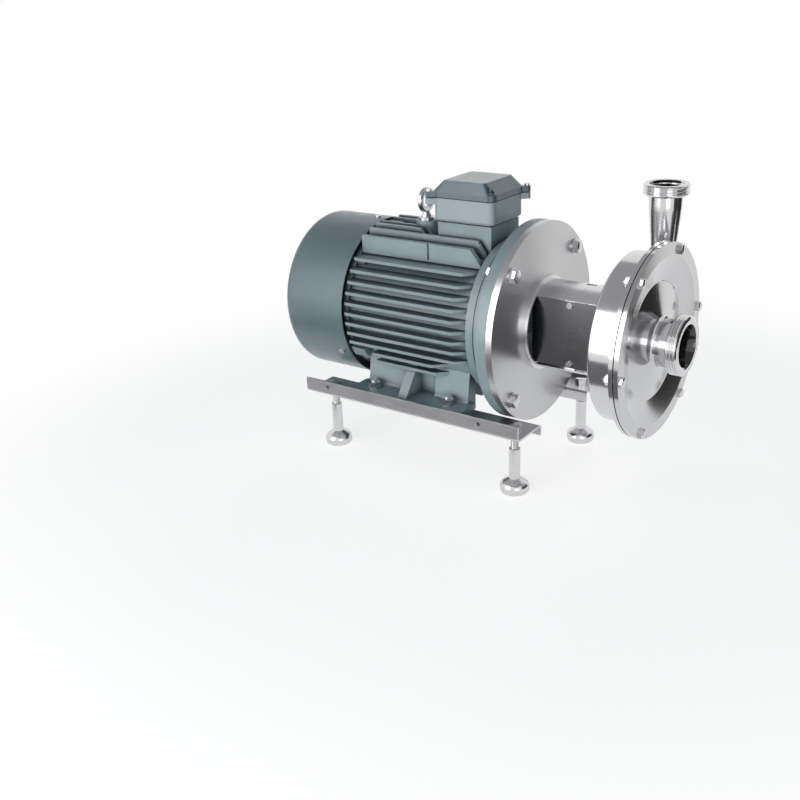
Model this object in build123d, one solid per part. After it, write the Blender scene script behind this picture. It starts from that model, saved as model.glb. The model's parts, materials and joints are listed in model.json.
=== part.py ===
from build123d import *
import os
from math import cos, pi, radians, sin, sqrt, tan

# Close-coupled hygienic centrifugal pump on levelling feet, in millimetres.
# The origin is the centre of the suction port's outer face. +X leaves the port along the shaft,
# +Z is up, and everything else lies towards -X. A stretch along the shaft is a length, and the
# stations that follow from the lengths are worked out below them. Cuts run 1 mm past the faces
# they open.

# Suction port and front cover
suction_bore_r = 30.15
suction_thread_r = 42.5
suction_thread_length = 16.0
suction_tube_r = 33.0
suction_ferrule_length = 33.0
suction_collar_r = 34.0
ferrule_edge = 1.5
suction_reach = 38.0
flange_r = 139.0
cover_flange_t = 6.5
cover_wall = 4.0
rim_width = 19.0
bowl_depth = 10.0
crease_r = 85.0
hub_cone_rise = 6.5
hub_neck_r = 46.0
hub_fillet = 7.0
crease_fillet = 6.0
cover_bolt_circle_r = 130.5
cover_bolt_count = 6
cover_bolt_phase = 7.2
cover_bolt_r = 4.0
cover_bolt_head = 13.0

# Pump casing and discharge
gasket_t = 1.5
gasket_width = 5.5
casing_flange_t = 6.0
casing_depth = 46.0
drum_r = 122.0
casing_wall = 4.0
drum_edge = 4.0
discharge_axis_y = 82.0
discharge_axis_back = 30.0
discharge_top_z = 203.0
discharge_bore_r = 20.0
discharge_wall = 3.2
discharge_throat_r = 11.0
discharge_throat_z = 40.0
discharge_waist_r = 15.2
discharge_waist_z = 118.0
discharge_waist_rounding = 200.0
discharge_flare_z = 170.0
discharge_flare_rounding = 60.0
discharge_thread_r = 32.5
discharge_thread_length = 16.0
discharge_seat_r = 24.0
discharge_seat_depth = 5.0

# Impeller and shaft seal
impeller_r = 92.0
impeller_back_gap = 16.5
impeller_plate_t = 4.0
vane_count = 6
vane_t = 4.0
vane_inner_r = 30.0
vane_sweep = 75.0
vane_front_gap = 1.0
vane_bulge = 0.18
hub_r = 25.0
hub_length = 20.0
hub_taper = 4.0
hub_bore_r = 15.0
nut_r = 17.0
nut_length = 13.0
nut_thread_r = 8.0
nut_cap_t = 5.0
seal_shaft_r = 17.5
seal_carrier_r = 40.0
seal_carrier_flange_r = 52.0
seal_carrier_flange_t = 4.0
seal_carrier_back = 6.0
seal_seat_r = 29.0
seal_seat_t = 7.0
seal_seat_proud = 1.0
seal_step_back = 2.0
seal_ring_r = 27.0
seal_ring_t = 4.5
seal_lip_t = 3.0
seal_spring_wire = 1.8
seal_spring_turns = 2
seal_screw_r = 2.5
seal_screw_head_r = 4.5
seal_screw_circle_r = 46.0

# Lantern between the casing and the motor
lantern_length = 130.5
lantern_r = 66.0
lantern_wall = 3.0
collar_r = 70.5
collar_t = 6.0
window_start = 8.5
window_length = 110.0
window_half_height = 52.0
window_corner = 2.0
guard_face_y = 37.5
guard_t = 1.5
guard_corner = 3.0
guard_side_gap = 0.5
guard_end_gap = 1.5
guard_screw_r = 2.5
guard_screw_head_r = 4.5
guard_screw_along = 62.0
guard_screw_inset = 5.5
guard_tab_length = 16.0
guard_tab_depth = 8.0
guard_tab_low = 37.0
vent_length = 16.0
vent_width = 8.0
vent_along = 74.0
vent_y = 5.0
disc_r = 150.0
disc_t = 10.0

# Motor flange and shields
shaft_height = 132.0
motor_flange_t = 17.0
flange_bolt_inset = 17.5
flange_bolt_circle_r = disc_r - flange_bolt_inset
spigot_r = flange_bolt_circle_r - flange_bolt_inset
spigot_t = 4.0
flange_bolt_r = 6.0
flange_bolt_head = 18.0
flange_hole_r = 7.25
shield_rim_inset = 13.0
shield_rim_r = flange_bolt_circle_r - shield_rim_inset
shield_rim_length = 23.0
shield_wall = 7.0
shield_web_back = 16.0
shield_lip = 6.0
shield_draft = 2.0
shield_rim_draft = 1.0
front_recess_inset = 12.0
back_recess_inset = 8.0
shield_screw_r = 3.0
shield_screw_head_r = 5.0
shield_screw_head_h = 6.0
shield_screw_sunk = 11.0
shield_screw_depth = 12.0
shield_screw_inset = 10.5
shield_screw_circle_r = shield_rim_r - shield_screw_inset
rear_shield_t = 10.0
cover_lug_length = 22.0
cover_lug_w = 18.0
cover_lug_in = 4.0

# Motor frame
frame_length = 233.0
front_ring_length = 13.0
front_ring_rise = 9.5
barrel_r = shield_rim_r - front_ring_rise
barrel_wall = 5.0
stator_r = barrel_r - barrel_wall
rear_shield_rise = 4.5
rear_shield_r = barrel_r + rear_shield_rise
rear_boss_r = 7.0
rear_boss_length = 14.0
cover_boss_length = 26.0
cover_boss_w = 17.0
cover_boss_rise = 14.5
fin_depth = 16.0
fin_tip_r = barrel_r + fin_depth
fin_t = 5.0
fin_root_sunk = 4.0
fin_count = 11
fin_top_drop = 26.0
fin_top_z = barrel_r - fin_top_drop
fin_pitch = 16.0
fin_front_gap = 34.0
fin_chamfer = 26.0
fin_tip_rounding = 8.0
fin_rear_edge = 2.0
short_fin_count = 2
short_fin_front_gap = 80.0
short_fin_rear_gap = 39.5
upright_chamfer = 21.0
panel_side_inset = 40.0
panel_y = barrel_r - panel_side_inset
panel_t = 9.0
panel_bottom_drop = 21.0
panel_bottom_z = barrel_r - panel_bottom_drop
panel_height = 27.0
panel_top_z = panel_bottom_z + panel_height
panel_joint_back = 108.0
panel_joint_w = 3.0
panel_joint_depth = 2.5
crown_fin_y = 47.0
crown_fin_rise = 14.0
ridge_fin_ys = (15.0, 31.0)
ridge_fin_rise = 18.0
ridge_fin_front_gap = 147.0
keel_fin_ys = (18.0, 40.0)
keel_fin_drop = 12.0
top_root_drop = 15.0

# Motor feet, with the standard spacing of this shaft height
foot_across = 216.0
foot_along = 140.0
foot_first_hole = 94.0
foot_plate_length = 208.0
foot_plate_past_hole = 26.0
foot_plate_reach = foot_across / 2 + foot_plate_past_hole
foot_plate_width = 54.0
foot_plate_t = 15.0
foot_plate_corner = 8.0
foot_wall_inset = 16.0
foot_wall_y = foot_across / 2 - foot_wall_inset
foot_wall_t = 22.0
foot_wall_draft = 7.0
foot_wall_fillet = 5.0
foot_wall_rear_inset = 12.0
foot_wall_front_inset = 8.0
foot_pocket_length = 44.0
foot_pocket_along = 111.0
foot_pocket_depth = 12.0
foot_rib_w = 16.0
foot_rib_along = 128.0
foot_rib_rise = 4.0
foot_rib_inset = 9.0
foot_bolt_r = 5.0
foot_bolt_head = 17.0

# Terminal box and lifting eye
box_back = 63.0
box_length = 104.0
box_width = 90.0
box_height = 34.5
box_wall = 4.0
box_corner_r = 10.0
box_foot_edge = 4.5
box_rise = 35.5
box_foot_z = barrel_r + box_rise
box_seal_t = 2.0
boss_inset = 5.5
seal_inset = 1.0
cable_way = 44.0
cable_way_sunk = 15.0
lid_gasket_t = 1.5
lid_overhang = 1.5
lid_skirt = 8.5
lid_height = 24.5
lid_top_length = 71.5
lid_top_width = 77.0
lid_top_corner_r = 4.0
lid_ear_r = 5.5
lid_ear_out = 3.4
lid_ear_t = 9.0
lid_screw_r = 2.0
lid_screw_head_r = 3.8
lid_screw_in = 7.0
lid_screw_depth = 7.0
lid_seat_room = 1.0
lid_pillar_wall = 2.0
gland_along = 30.0
gland_rise = 16.5
gland_r = 12.0
gland_thread_step = 3.0
gland_bore_r = 7.5
gland_hex = 27.0
gland_collar_h = 12.0
gland_nut_h = 13.0
gland_nut_hex = 26.0
gland_dome_h = 5.0
gland_dome_lip = 2.0
blank_r = 11.0
blank_rise = 1.2
terminal_rows = 2
terminal_columns = 3
terminal_pitch = 18.0
terminal_r = 2.5
terminal_hex = 8.0
terminal_rise = 14.0
board_t = 10.0
board_margin = 4.0
eye_back = 157.5
eye_outer_r = 19.5
eye_hole_r = 10.5
eye_t = 8.0
eye_edge = 3.0
eye_collar_r = 13.0
eye_collar_t = 5.0
eye_neck_low_r = 9.0
eye_neck_high_r = 4.0
eye_neck_h = 10.0
eye_ring_up = 30.5
eye_boss_r = 17.0
eye_boss_rise = 24.0
eye_stud_r = 5.0
eye_stud_length = 17.0

# Fan cover and fan
fan_cover_gap = 3.0
fan_cover_length = 119.0
fan_cover_past_fins = 2.1
fan_cover_r = fin_tip_r + fan_cover_past_fins
fan_cover_wall = 2.0
fan_cover_edge = 12.0
fan_cover_screw_back = 17.0
fan_cover_screw_r = 2.5
fan_cover_screw_head_r = 5.0
fan_cover_screw_length = 12.0
fan_cover_screw_angles = (90.0, 210.0, 330.0)
grille_ring_shares = (0.28, 0.53, 0.765)
grille_slot_lengths = (20.0, 26.0, 20.0)
grille_slot_w = 5.0
grille_pitch = 17.5
fan_tip_room = 22.0
fan_hub_r = 24.0
fan_hub_length = 34.0
fan_plate_t = 4.0
fan_blade_count = 8
fan_blade_t = 3.5
fan_blade_depth = 36.0
fan_blade_tip_depth = 29.0
fan_blade_root_depth = 25.0
fan_blade_tip_cut = 12.0
fan_hub_taper = 3.0
fan_offset = 30.0
circlip_t = 1.5
circlip_r = 19.0

# Motor inside
core_length = 120.0
core_back = 57.0
air_gap = 0.4
stator_depth = 37.0
winding_length = 36.0
winding_past_gap = 4.0
winding_inset = 6.0
winding_edge = 7.0
cage_ring_t = 14.0
cage_inset = 2.0
cage_ring_depth = 20.0
core_bore_r = 24.0
bearing_outer_r = 40.0
bearing_bore_r = 20.0
bearing_width = 18.0
bearing_ring_t = 4.5
bearing_shield_t = 1.2
bearing_seat_wall = 10.0
ball_count = 9
front_bearing_back = 34.0
rear_bearing_back = 3.0
shaft_end_r = 19.0
shaft_end_length = 80.0
fan_seat_r = 15.0
shaft_tail = 8.0
shaft_step = 3.0

# Stub shaft that carries the impeller on the motor's shaft end
stub_r = 29.0
stub_start = 14.0
stub_grip_length = 60.0
stub_head_length = 72.0
stub_neck_r = 22.0
stub_shoulder = 6.0
slinger_r = 35.0
slinger_t = 6.0
slinger_rim_t = 2.0
slinger_hub_step = 8.0
slinger_place = 92.0
key_w = 10.0
key_h = 8.0
key_length = 44.0
key_start = 6.0
impeller_key_w = 5.0
impeller_key_length = 14.0
clamp_screw_r = 4.0

# Rails and levelling feet
rail_length = 395.0
rail_half_w = 34.5
rail_sheet = 3.0
rail_bend_r = 2.0
rail_flange_h = 21.0
rail_inner_flange_h = 13.5
rail_y = 106.5
rail_front_reach = 37.0
rail_foot_front_inset = 25.0
rail_foot_rear_inset = 31.0
rail_side_hole_r = 3.2
rail_side_hole_up = 11.5
rail_side_hole_insets = (44.0, 66.0)
stud_r = 6.0
stud_head = 18.0
stud_engaged = 34.0
thread_shown = 27.5
foot_drop = 102.5
foot_sleeve_r = 8.5
foot_pad_r = 22.3
foot_pad_t = 17.0
foot_pad_edge = 7.0
foot_dome_h = 7.0
foot_dome_rounding = 11.0
foot_bore_spare = 27.0

# Fits
seat_gap = 0.05
bolt_room = 0.5
running_room = 0.3
film = 0.1
stud_room = 0.15

# Fastener proportions, the heights as shares of the thread's diameter
head_share = 0.65
nut_share = 0.8
washer_t = 2.0
thread_past_nut = 3.0
small_head_h = 3.0

# Stations along the shaft, from the suction face towards the fan
ferrule_back_x = -suction_ferrule_length
cover_rim_x = -suction_reach
cover_back_x = cover_rim_x - cover_flange_t
casing_front_x = cover_back_x - gasket_t
casing_flange_back_x = casing_front_x - casing_flange_t
casing_back_x = casing_front_x - casing_depth
chamber_back_x = casing_back_x + casing_wall
disc_front_x = casing_back_x - lantern_length
disc_back_x = disc_front_x - disc_t
flange_back_x = disc_back_x - motor_flange_t
frame_front_x = flange_back_x - shield_rim_length
frame_back_x = frame_front_x - frame_length
fan_cover_front_x = frame_back_x - fan_cover_gap
fan_cover_back_x = fan_cover_front_x - fan_cover_length
rear_shield_back_x = frame_back_x - rear_shield_t
front_bearing_x = disc_back_x - front_bearing_back
rear_bearing_x = frame_back_x - rear_bearing_back
core_front_x = frame_front_x - core_back
core_back_x = core_front_x - core_length
fan_x = rear_shield_back_x - fan_offset
impeller_back_x = chamber_back_x + impeller_back_gap
impeller_front_x = impeller_back_x + impeller_plate_t
hub_front_x = impeller_back_x + hub_length
seal_seat_back_x = chamber_back_x + seal_carrier_flange_t - seal_seat_t + seal_seat_proud
seal_seat_front_x = seal_seat_back_x + seal_seat_t
seal_ring_back_x = seal_seat_front_x + film
seal_ring_front_x = seal_ring_back_x + seal_ring_t
stub_back_x = disc_front_x + stub_start
stub_grip_x = stub_back_x + stub_grip_length
stub_head_x = stub_back_x + stub_head_length
seal_step_x = seal_seat_back_x - seal_step_back
shaft_nose_x = disc_back_x + shaft_end_length

# Heights and other places
rail_top_z = -shaft_height
rail_under_z = rail_top_z - rail_sheet
foot_top_z = rail_under_z - thread_shown
floor_z = -shaft_height - foot_drop
box_x = frame_front_x - box_back
box_rim_z = box_foot_z + box_height
lid_foot_z = box_rim_z + lid_gasket_t
lid_shoulder_z = lid_foot_z + lid_skirt
lid_top_z = lid_foot_z + lid_height
lid_length = box_length + 2 * lid_overhang
lid_width = box_width + 2 * lid_overhang
lid_corner_r = box_corner_r + lid_overhang
boss_top_z = box_foot_z - box_seal_t
gland_thread_r = gland_r - gland_thread_step
gland_z = box_foot_z + gland_rise
gland_x = box_x - gland_along
blank_x = box_x + gland_along
top_root_z = barrel_r - top_root_drop
eye_boss_top_z = barrel_r + eye_boss_rise
eye_x = frame_front_x - eye_back
discharge_x = casing_front_x - discharge_axis_back
diffuser_top_z = discharge_top_z - discharge_thread_length
crease_x = cover_rim_x - bowl_depth
neck_x = crease_x + hub_cone_rise
hub_slope = hub_cone_rise / (crease_r - hub_neck_r)
bowl_r = flange_r - rim_width
chamber_r = drum_r - casing_wall
shield_face_x = disc_back_x + spigot_t
shield_web_x = disc_back_x - shield_web_back
shield_screw_seat_x = shield_face_x - shield_screw_sunk
rail_front_x = disc_front_x + rail_front_reach
rail_back_x = rail_front_x - rail_length
level_xs = (rail_front_x - rail_foot_front_inset, rail_back_x + rail_foot_rear_inset)
foot_xs = (disc_back_x - foot_first_hole, disc_back_x - foot_first_hole - foot_along)
foot_plate_x = (foot_xs[0] + foot_xs[1]) / 2
near, far = -1, 1

# Radii inside the motor
bore_gap_r = stator_r - stator_depth
rotor_r = bore_gap_r - air_gap
winding_inner_r = bore_gap_r + winding_past_gap
winding_outer_r = stator_r - winding_inset
fan_r = fan_cover_r - fan_cover_wall - fan_tip_room


# Shapes used throughout

def x_rod(x_from, x_to, radius, y=0.0, z=0.0):
    """Round bar along X."""
    start = min(x_from, x_to)
    bar = Cylinder(radius, abs(x_to - x_from), align=(Align.CENTER, Align.CENTER, Align.MIN))
    return Pos(start, y, z) * Rot(0, 90, 0) * bar


def x_tube(x_from, x_to, outer_r, inner_r, y=0.0, z=0.0):
    """Round tube along X."""
    return x_rod(x_from, x_to, outer_r, y, z) - x_rod(x_from, x_to, inner_r, y, z)


def z_rod(z_from, z_to, radius, x, y):
    """Round bar along Z."""
    bar = Cylinder(radius, abs(z_to - z_from), align=(Align.CENTER, Align.CENTER, Align.MIN))
    return Pos(x, y, min(z_from, z_to)) * bar


def block(x_span, y_span, z_span):
    """Box between two corners."""
    size = [abs(b - a) for a, b in (x_span, y_span, z_span)]
    middle = [(a + b) / 2 for a, b in (x_span, y_span, z_span)]
    return Pos(*middle) * Box(*size)


def rounded_face(corners):
    """Face in the XZ plane through (across, up, rounding radius) corners."""
    points = [Vector(across, 0, up) for across, up, _ in corners]
    ends = []
    for i, (_, _, rounding) in enumerate(corners):
        here = points[i]
        back = (points[i - 1] - here).normalized()
        ahead = (points[(i + 1) % len(points)] - here).normalized()
        if rounding:
            half = radians(back.get_angle(ahead)) / 2
            run = rounding / tan(half)
            middle = here + (back + ahead).normalized() * (rounding / sin(half) - rounding)
            ends.append((here + back * run, middle, here + ahead * run))
        else:
            ends.append((here, None, here))
    edges = []
    for i, (start, middle, end) in enumerate(ends):
        if middle:
            edges.append(ThreePointArc(start, middle, end))
        edges.append(Line(end, ends[(i + 1) % len(ends)][0]))
    return make_face(edges)


def with_rounding(outline):
    """Outline of two or three values a corner, with the third, its rounding, filled in as none."""
    return [(across, up, rounding[0] if rounding else 0) for across, up, *rounding in outline]


def turned(*outline):
    """Solid turned about the shaft axis from an outline of (x, radius) or (x, radius, rounding) corners."""
    return revolve(rounded_face(with_rounding(outline)), Axis.X)


def turned_upright(*outline):
    """Solid turned about the Z axis from an outline of (radius, z) or (radius, z, rounding) corners."""
    return revolve(rounded_face(with_rounding(outline)), Axis.Z)


def ring_point(radius, angle):
    """The (y, z) of a point on a circle about the shaft, its angle taken from +Y towards +Z."""
    return radius * cos(radians(angle)), radius * sin(radians(angle))


def placed(shape, origin, direction):
    """Shape whose own +Z is turned to a direction, and its origin to a point."""
    return Plane(origin=origin, z_dir=direction) * shape


def hexagon(across_flats, height, z_from=0.0):
    """Hexagonal prism about Z."""
    return Pos(0, 0, z_from) * extrude(RegularPolygon(across_flats / 2, 6, major_radius=False), height)


def nut_height(radius):
    """Height of a hex nut for a thread of this radius."""
    return 2 * radius * nut_share


def hex_bolt(radius, length, head_across):
    """Bolt whose head stands on z = 0, with the shank below."""
    return hexagon(head_across, 2 * radius * head_share) + z_rod(-length, 0, radius, 0, 0)


def hex_nut(radius, across_flats):
    """Nut for a thread of this radius, standing on z = 0."""
    height = nut_height(radius)
    return hexagon(across_flats, height) - z_rod(-1, height + 1, radius + seat_gap, 0, 0)


def round_screw(radius, length, head_r, head_height):
    """Round-headed screw whose head stands on z = 0, with the shank below."""
    return z_rod(0, head_height, head_r, 0, 0) + z_rod(-length, 0, radius, 0, 0)


def washer(radius):
    """Flat washer for a thread of this radius, standing on z = 0."""
    return z_rod(0, washer_t, 2 * radius, 0, 0) - z_rod(-1, washer_t + 1, radius + bolt_room, 0, 0)


def group(solids):
    """Separate solids kept together in one sub-part."""
    return Compound(children=list(solids))


def circle_places(count, radius, phase):
    """The (y, z) of points spaced evenly round the shaft."""
    return [ring_point(radius, phase + 360 * i / count) for i in range(count)]


cover_bolt_places = circle_places(cover_bolt_count, cover_bolt_circle_r, cover_bolt_phase)
flange_bolt_places = circle_places(4, flange_bolt_circle_r, 45)
seal_screw_places = circle_places(4, seal_screw_circle_r, 45)
shield_screw_places = circle_places(4, shield_screw_circle_r, 45)


# Front cover and ports

def hub_corner_x(tube_r, wall):
    """Where the hub's cone would meet the suction tube, for the surface that lies a wall further back."""
    return crease_x - wall + hub_slope * (crease_r - tube_r)


def front_cover():
    """Dished cover: flat bolting rim, bowl, and a hub that flares into the suction tube."""
    cover = turned(
        (ferrule_back_x, suction_tube_r), (ferrule_back_x, suction_bore_r),
        (hub_corner_x(suction_bore_r, cover_wall), suction_bore_r, hub_fillet),
        (crease_x - cover_wall, crease_r, crease_fillet), (cover_back_x, chamber_r - bolt_room),
        (cover_back_x, flange_r), (cover_rim_x, flange_r), (cover_rim_x, bowl_r),
        (crease_x, crease_r, crease_fillet), (hub_corner_x(suction_tube_r, 0), suction_tube_r, hub_fillet),
    )
    for y, z in cover_bolt_places:
        cover -= x_rod(cover_back_x - 1, cover_rim_x + 1, cover_bolt_r + bolt_room, y, z)
    return cover


def suction_ferrule():
    """Male end of the suction port: a collar on the tube and the ring that carries the thread."""
    thread_back_x = -suction_thread_length
    return turned(
        (ferrule_back_x, suction_bore_r), (ferrule_back_x, suction_collar_r), (thread_back_x, suction_collar_r),
        (thread_back_x, suction_thread_r - ferrule_edge), (thread_back_x + ferrule_edge, suction_thread_r),
        (-ferrule_edge, suction_thread_r), (0, suction_thread_r - ferrule_edge), (0, suction_bore_r),
    )


def cover_bolts():
    """Hex bolts from the front through both flanges."""
    clamped = cover_flange_t + gasket_t + casing_flange_t
    length = clamped + nut_height(cover_bolt_r) + thread_past_nut
    bolt = hex_bolt(cover_bolt_r, length, cover_bolt_head)
    return group(placed(bolt, (cover_rim_x, y, z), (1, 0, 0)) for y, z in cover_bolt_places)


def cover_nuts():
    """Nuts behind the casing flange."""
    nut = hex_nut(cover_bolt_r, cover_bolt_head)
    return group(placed(nut, (casing_flange_back_x, y, z), (-1, 0, 0)) for y, z in cover_bolt_places)


def casing_gasket():
    """Flat ring gasket between the two flanges."""
    inner_r = chamber_r + 2
    return x_tube(casing_front_x, cover_back_x, inner_r + gasket_width, inner_r)


# Pump casing

def diffuser(wall):
    """Flared pipe of the upright discharge as a solid, its wall left out or taken in."""
    pipe = turned_upright(
        (0, discharge_throat_z), (discharge_throat_r + wall, discharge_throat_z),
        (discharge_waist_r + wall, discharge_waist_z, discharge_waist_rounding),
        (discharge_bore_r + wall, discharge_flare_z, discharge_flare_rounding),
        (discharge_bore_r + wall, diffuser_top_z), (0, diffuser_top_z),
    )
    return Pos(discharge_x, discharge_axis_y, 0) * pipe


def pump_casing():
    """Shallow drum with its bolting flange, rear wall and tangential discharge."""
    casing = turned(
        (casing_back_x, 0), (casing_back_x, drum_r, drum_edge), (casing_flange_back_x, drum_r),
        (casing_flange_back_x, flange_r), (casing_front_x, flange_r), (casing_front_x, 0),
    )
    casing += diffuser(discharge_wall)
    casing -= turned(
        (chamber_back_x, 0), (chamber_back_x, chamber_r, drum_edge - casing_wall + 1),
        (casing_front_x + 1, chamber_r), (casing_front_x + 1, 0),
    )
    casing -= diffuser(0)
    casing -= x_rod(casing_back_x - 1, chamber_back_x + 1, seal_carrier_r + seat_gap)
    for y, z in cover_bolt_places:
        casing -= x_rod(casing_flange_back_x - 1, casing_front_x + 1, cover_bolt_r + bolt_room, y, z)
    for y, z in seal_screw_places:
        casing -= x_rod(casing_back_x - 1, chamber_back_x + 1, seal_screw_r + seat_gap, y, z)
    return casing


def discharge_ferrule():
    """Threaded male end of the discharge, with its seal recess."""
    seat_z = discharge_top_z - discharge_seat_depth
    ring = turned_upright(
        (discharge_bore_r, diffuser_top_z), (discharge_thread_r - 2 * ferrule_edge, diffuser_top_z),
        (discharge_thread_r, diffuser_top_z + 2 * ferrule_edge),
        (discharge_thread_r, discharge_top_z - ferrule_edge),
        (discharge_thread_r - ferrule_edge, discharge_top_z), (discharge_seat_r, discharge_top_z),
        (discharge_seat_r, seat_z), (discharge_bore_r, seat_z),
    )
    return Pos(discharge_x, discharge_axis_y, 0) * ring


# Impeller and seal

def vane_section():
    """One backward-curved vane in the plane of the impeller, as a curved strip of even width."""
    half = vane_t / 2
    start = Vector(vane_inner_r, 0)
    end = Vector(*ring_point(impeller_r, vane_sweep))
    chord = end - start
    bulge = Vector(chord.Y, -chord.X).normalized() * chord.length * vane_bulge
    middle = start + chord * 0.5 + bulge
    side = bulge.normalized() * half
    outer = ThreePointArc(start + side, middle + side, end + side)
    inner = ThreePointArc(end - side, middle - side, start - side)
    return make_face([outer, Line(end + side, end - side), inner, Line(start - side, start + side)])


def impeller():
    """Semi-open impeller whose vanes follow the inside of the cover."""
    wheel = turned(
        (impeller_back_x, hub_bore_r + seat_gap), (impeller_back_x, impeller_r),
        (impeller_front_x, impeller_r), (impeller_front_x, hub_r), (hub_front_x, hub_r - hub_taper),
        (hub_front_x, hub_bore_r + seat_gap),
    )
    gap = cover_wall + vane_front_gap
    reach = turned(
        (impeller_back_x, 0), (impeller_back_x, impeller_r), (crease_x - gap, impeller_r),
        (crease_x - gap, crease_r), (neck_x - gap, hub_neck_r), (neck_x - gap, 0),
    )
    vane = extrude(vane_section(), neck_x - impeller_front_x + 1)
    upright = Plane(origin=(impeller_front_x - 1, 0, 0), x_dir=(0, 1, 0), z_dir=(1, 0, 0)) * vane
    for i in range(vane_count):
        wheel += Rot(360 * i / vane_count, 0, 0) * upright & reach
    key_top = hub_bore_r + impeller_key_w / 2
    wheel -= block((impeller_back_x - 1, hub_front_x + 1),
                   (-impeller_key_w / 2 - seat_gap, impeller_key_w / 2 + seat_gap), (0, key_top + seat_gap))
    return wheel


def impeller_nut():
    """Domed nut that clamps the impeller on the stub shaft."""
    nose_x = hub_front_x + nut_length
    thread_end_x = nose_x - nut_cap_t
    return turned(
        (hub_front_x, nut_thread_r + seat_gap), (hub_front_x, nut_r), (nose_x, nut_r, nut_r / 2),
        (nose_x, 0), (thread_end_x, 0), (thread_end_x, nut_thread_r + seat_gap),
    )


def shaft_keys():
    """Keys between motor shaft and stub shaft, and between stub shaft and impeller."""
    start_x = stub_back_x + key_start
    grip_key = block((start_x, start_x + key_length), (-key_w / 2, key_w / 2),
                     (shaft_end_r - key_h / 2, shaft_end_r + key_h / 2))
    half = impeller_key_w / 2
    start_x = impeller_back_x + (hub_length - impeller_key_length) / 2
    wheel_key = block((start_x, start_x + impeller_key_length), (-half, half),
                      (hub_bore_r - half, hub_bore_r + half))
    return group((grip_key, wheel_key))


def seal_carrier():
    """Flanged sleeve in the casing's rear wall that holds the stationary seal ring."""
    front_x = chamber_back_x + seal_carrier_flange_t
    back_x = casing_back_x - seal_carrier_back
    bore_r = stub_neck_r + seal_lip_t
    carrier = turned(
        (front_x, seal_seat_r + seat_gap), (front_x, seal_carrier_flange_r),
        (chamber_back_x, seal_carrier_flange_r), (chamber_back_x, seal_carrier_r), (back_x, seal_carrier_r),
        (back_x, bore_r), (seal_seat_back_x, bore_r), (seal_seat_back_x, seal_seat_r + seat_gap),
    )
    for y, z in seal_screw_places:
        carrier -= x_rod(chamber_back_x - 1, front_x + 1, seal_screw_r + bolt_room, y, z)
    return carrier


def seal_carrier_screws():
    """Screws that hold the seal carrier to the casing's rear wall."""
    screw = round_screw(seal_screw_r, seal_carrier_flange_t + casing_wall, seal_screw_head_r, small_head_h)
    front_x = chamber_back_x + seal_carrier_flange_t
    return group(placed(screw, (front_x, y, z), (1, 0, 0)) for y, z in seal_screw_places)


def stationary_seal_ring():
    """Hard ring that stays still in the carrier."""
    return x_tube(seal_seat_back_x, seal_seat_front_x, seal_seat_r, seal_shaft_r + seal_lip_t / 2)


def rotating_seal_ring():
    """Hard ring that turns with the shaft against the stationary one."""
    return x_tube(seal_ring_back_x, seal_ring_front_x, seal_ring_r, seal_shaft_r + seat_gap)


def seal_spring():
    """Coil spring between the rotating seal ring and the impeller."""
    length = impeller_back_x - seal_ring_front_x - 2 * film
    pitch = (length - seal_spring_wire) / seal_spring_turns
    path = Helix(pitch, pitch * seal_spring_turns, seal_shaft_r + 2 * seal_spring_wire)
    section = Plane(origin=path @ 0, z_dir=path % 0) * Rectangle(seal_spring_wire, seal_spring_wire)
    coil = sweep(section, path=path, is_frenet=True)
    start_x = seal_ring_front_x + film + seal_spring_wire / 2
    return placed(coil, (start_x, 0, 0), (1, 0, 0))


# Shaft line

def stub_shaft():
    """Shaft that grips the motor's shaft end and carries the slinger, seal and impeller."""
    thread_end_x = hub_front_x + nut_length - nut_cap_t - 1
    shaft = turned(
        (stub_back_x, 0), (stub_back_x, stub_r), (stub_head_x, stub_r),
        (stub_head_x + stub_shoulder, stub_neck_r), (seal_step_x, stub_neck_r), (seal_step_x, seal_shaft_r),
        (impeller_back_x, seal_shaft_r), (impeller_back_x, hub_bore_r), (hub_front_x, hub_bore_r),
        (hub_front_x, nut_thread_r), (thread_end_x, nut_thread_r), (thread_end_x, 0),
    )
    shaft -= x_rod(stub_back_x - 1, stub_grip_x, shaft_end_r + seat_gap)
    room = seat_gap
    shaft -= block((stub_back_x - 1, stub_grip_x), (-key_w / 2 - room, key_w / 2 + room),
                   (0, shaft_end_r + key_h / 2 + room))
    half = impeller_key_w / 2
    start_x = impeller_back_x + (hub_length - impeller_key_length) / 2
    shaft -= block((start_x - room, start_x + impeller_key_length + room), (-half - room, half + room),
                   (hub_bore_r - half - room, hub_bore_r + half))
    for x in clamp_screw_xs():
        shaft -= placed(z_rod(0, stub_r + 5, clamp_screw_r + room, 0, 0), (x, 0, 0), (0, -1, 0))
    return shaft


def clamp_screw_xs():
    """Places along the grip of the two clamping screws."""
    third = stub_grip_length / 3
    return stub_back_x + third, stub_back_x + 2 * third


def clamping_screws():
    """Screws that lock the stub shaft on the motor shaft."""
    screw = z_rod(shaft_end_r + film, stub_r - 1, clamp_screw_r, 0, 0)
    return group(placed(screw, (x, 0, 0), (0, -1, 0)) for x in clamp_screw_xs())


def slinger_ring():
    """Rubber disc that throws leaked liquid clear of the motor."""
    x = disc_front_x + slinger_place
    return turned(
        (x, stub_neck_r + seat_gap), (x, slinger_r), (x + slinger_rim_t, slinger_r),
        (x + slinger_t, slinger_r - slinger_hub_step), (x + slinger_t, stub_neck_r + seat_gap),
    )


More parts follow.
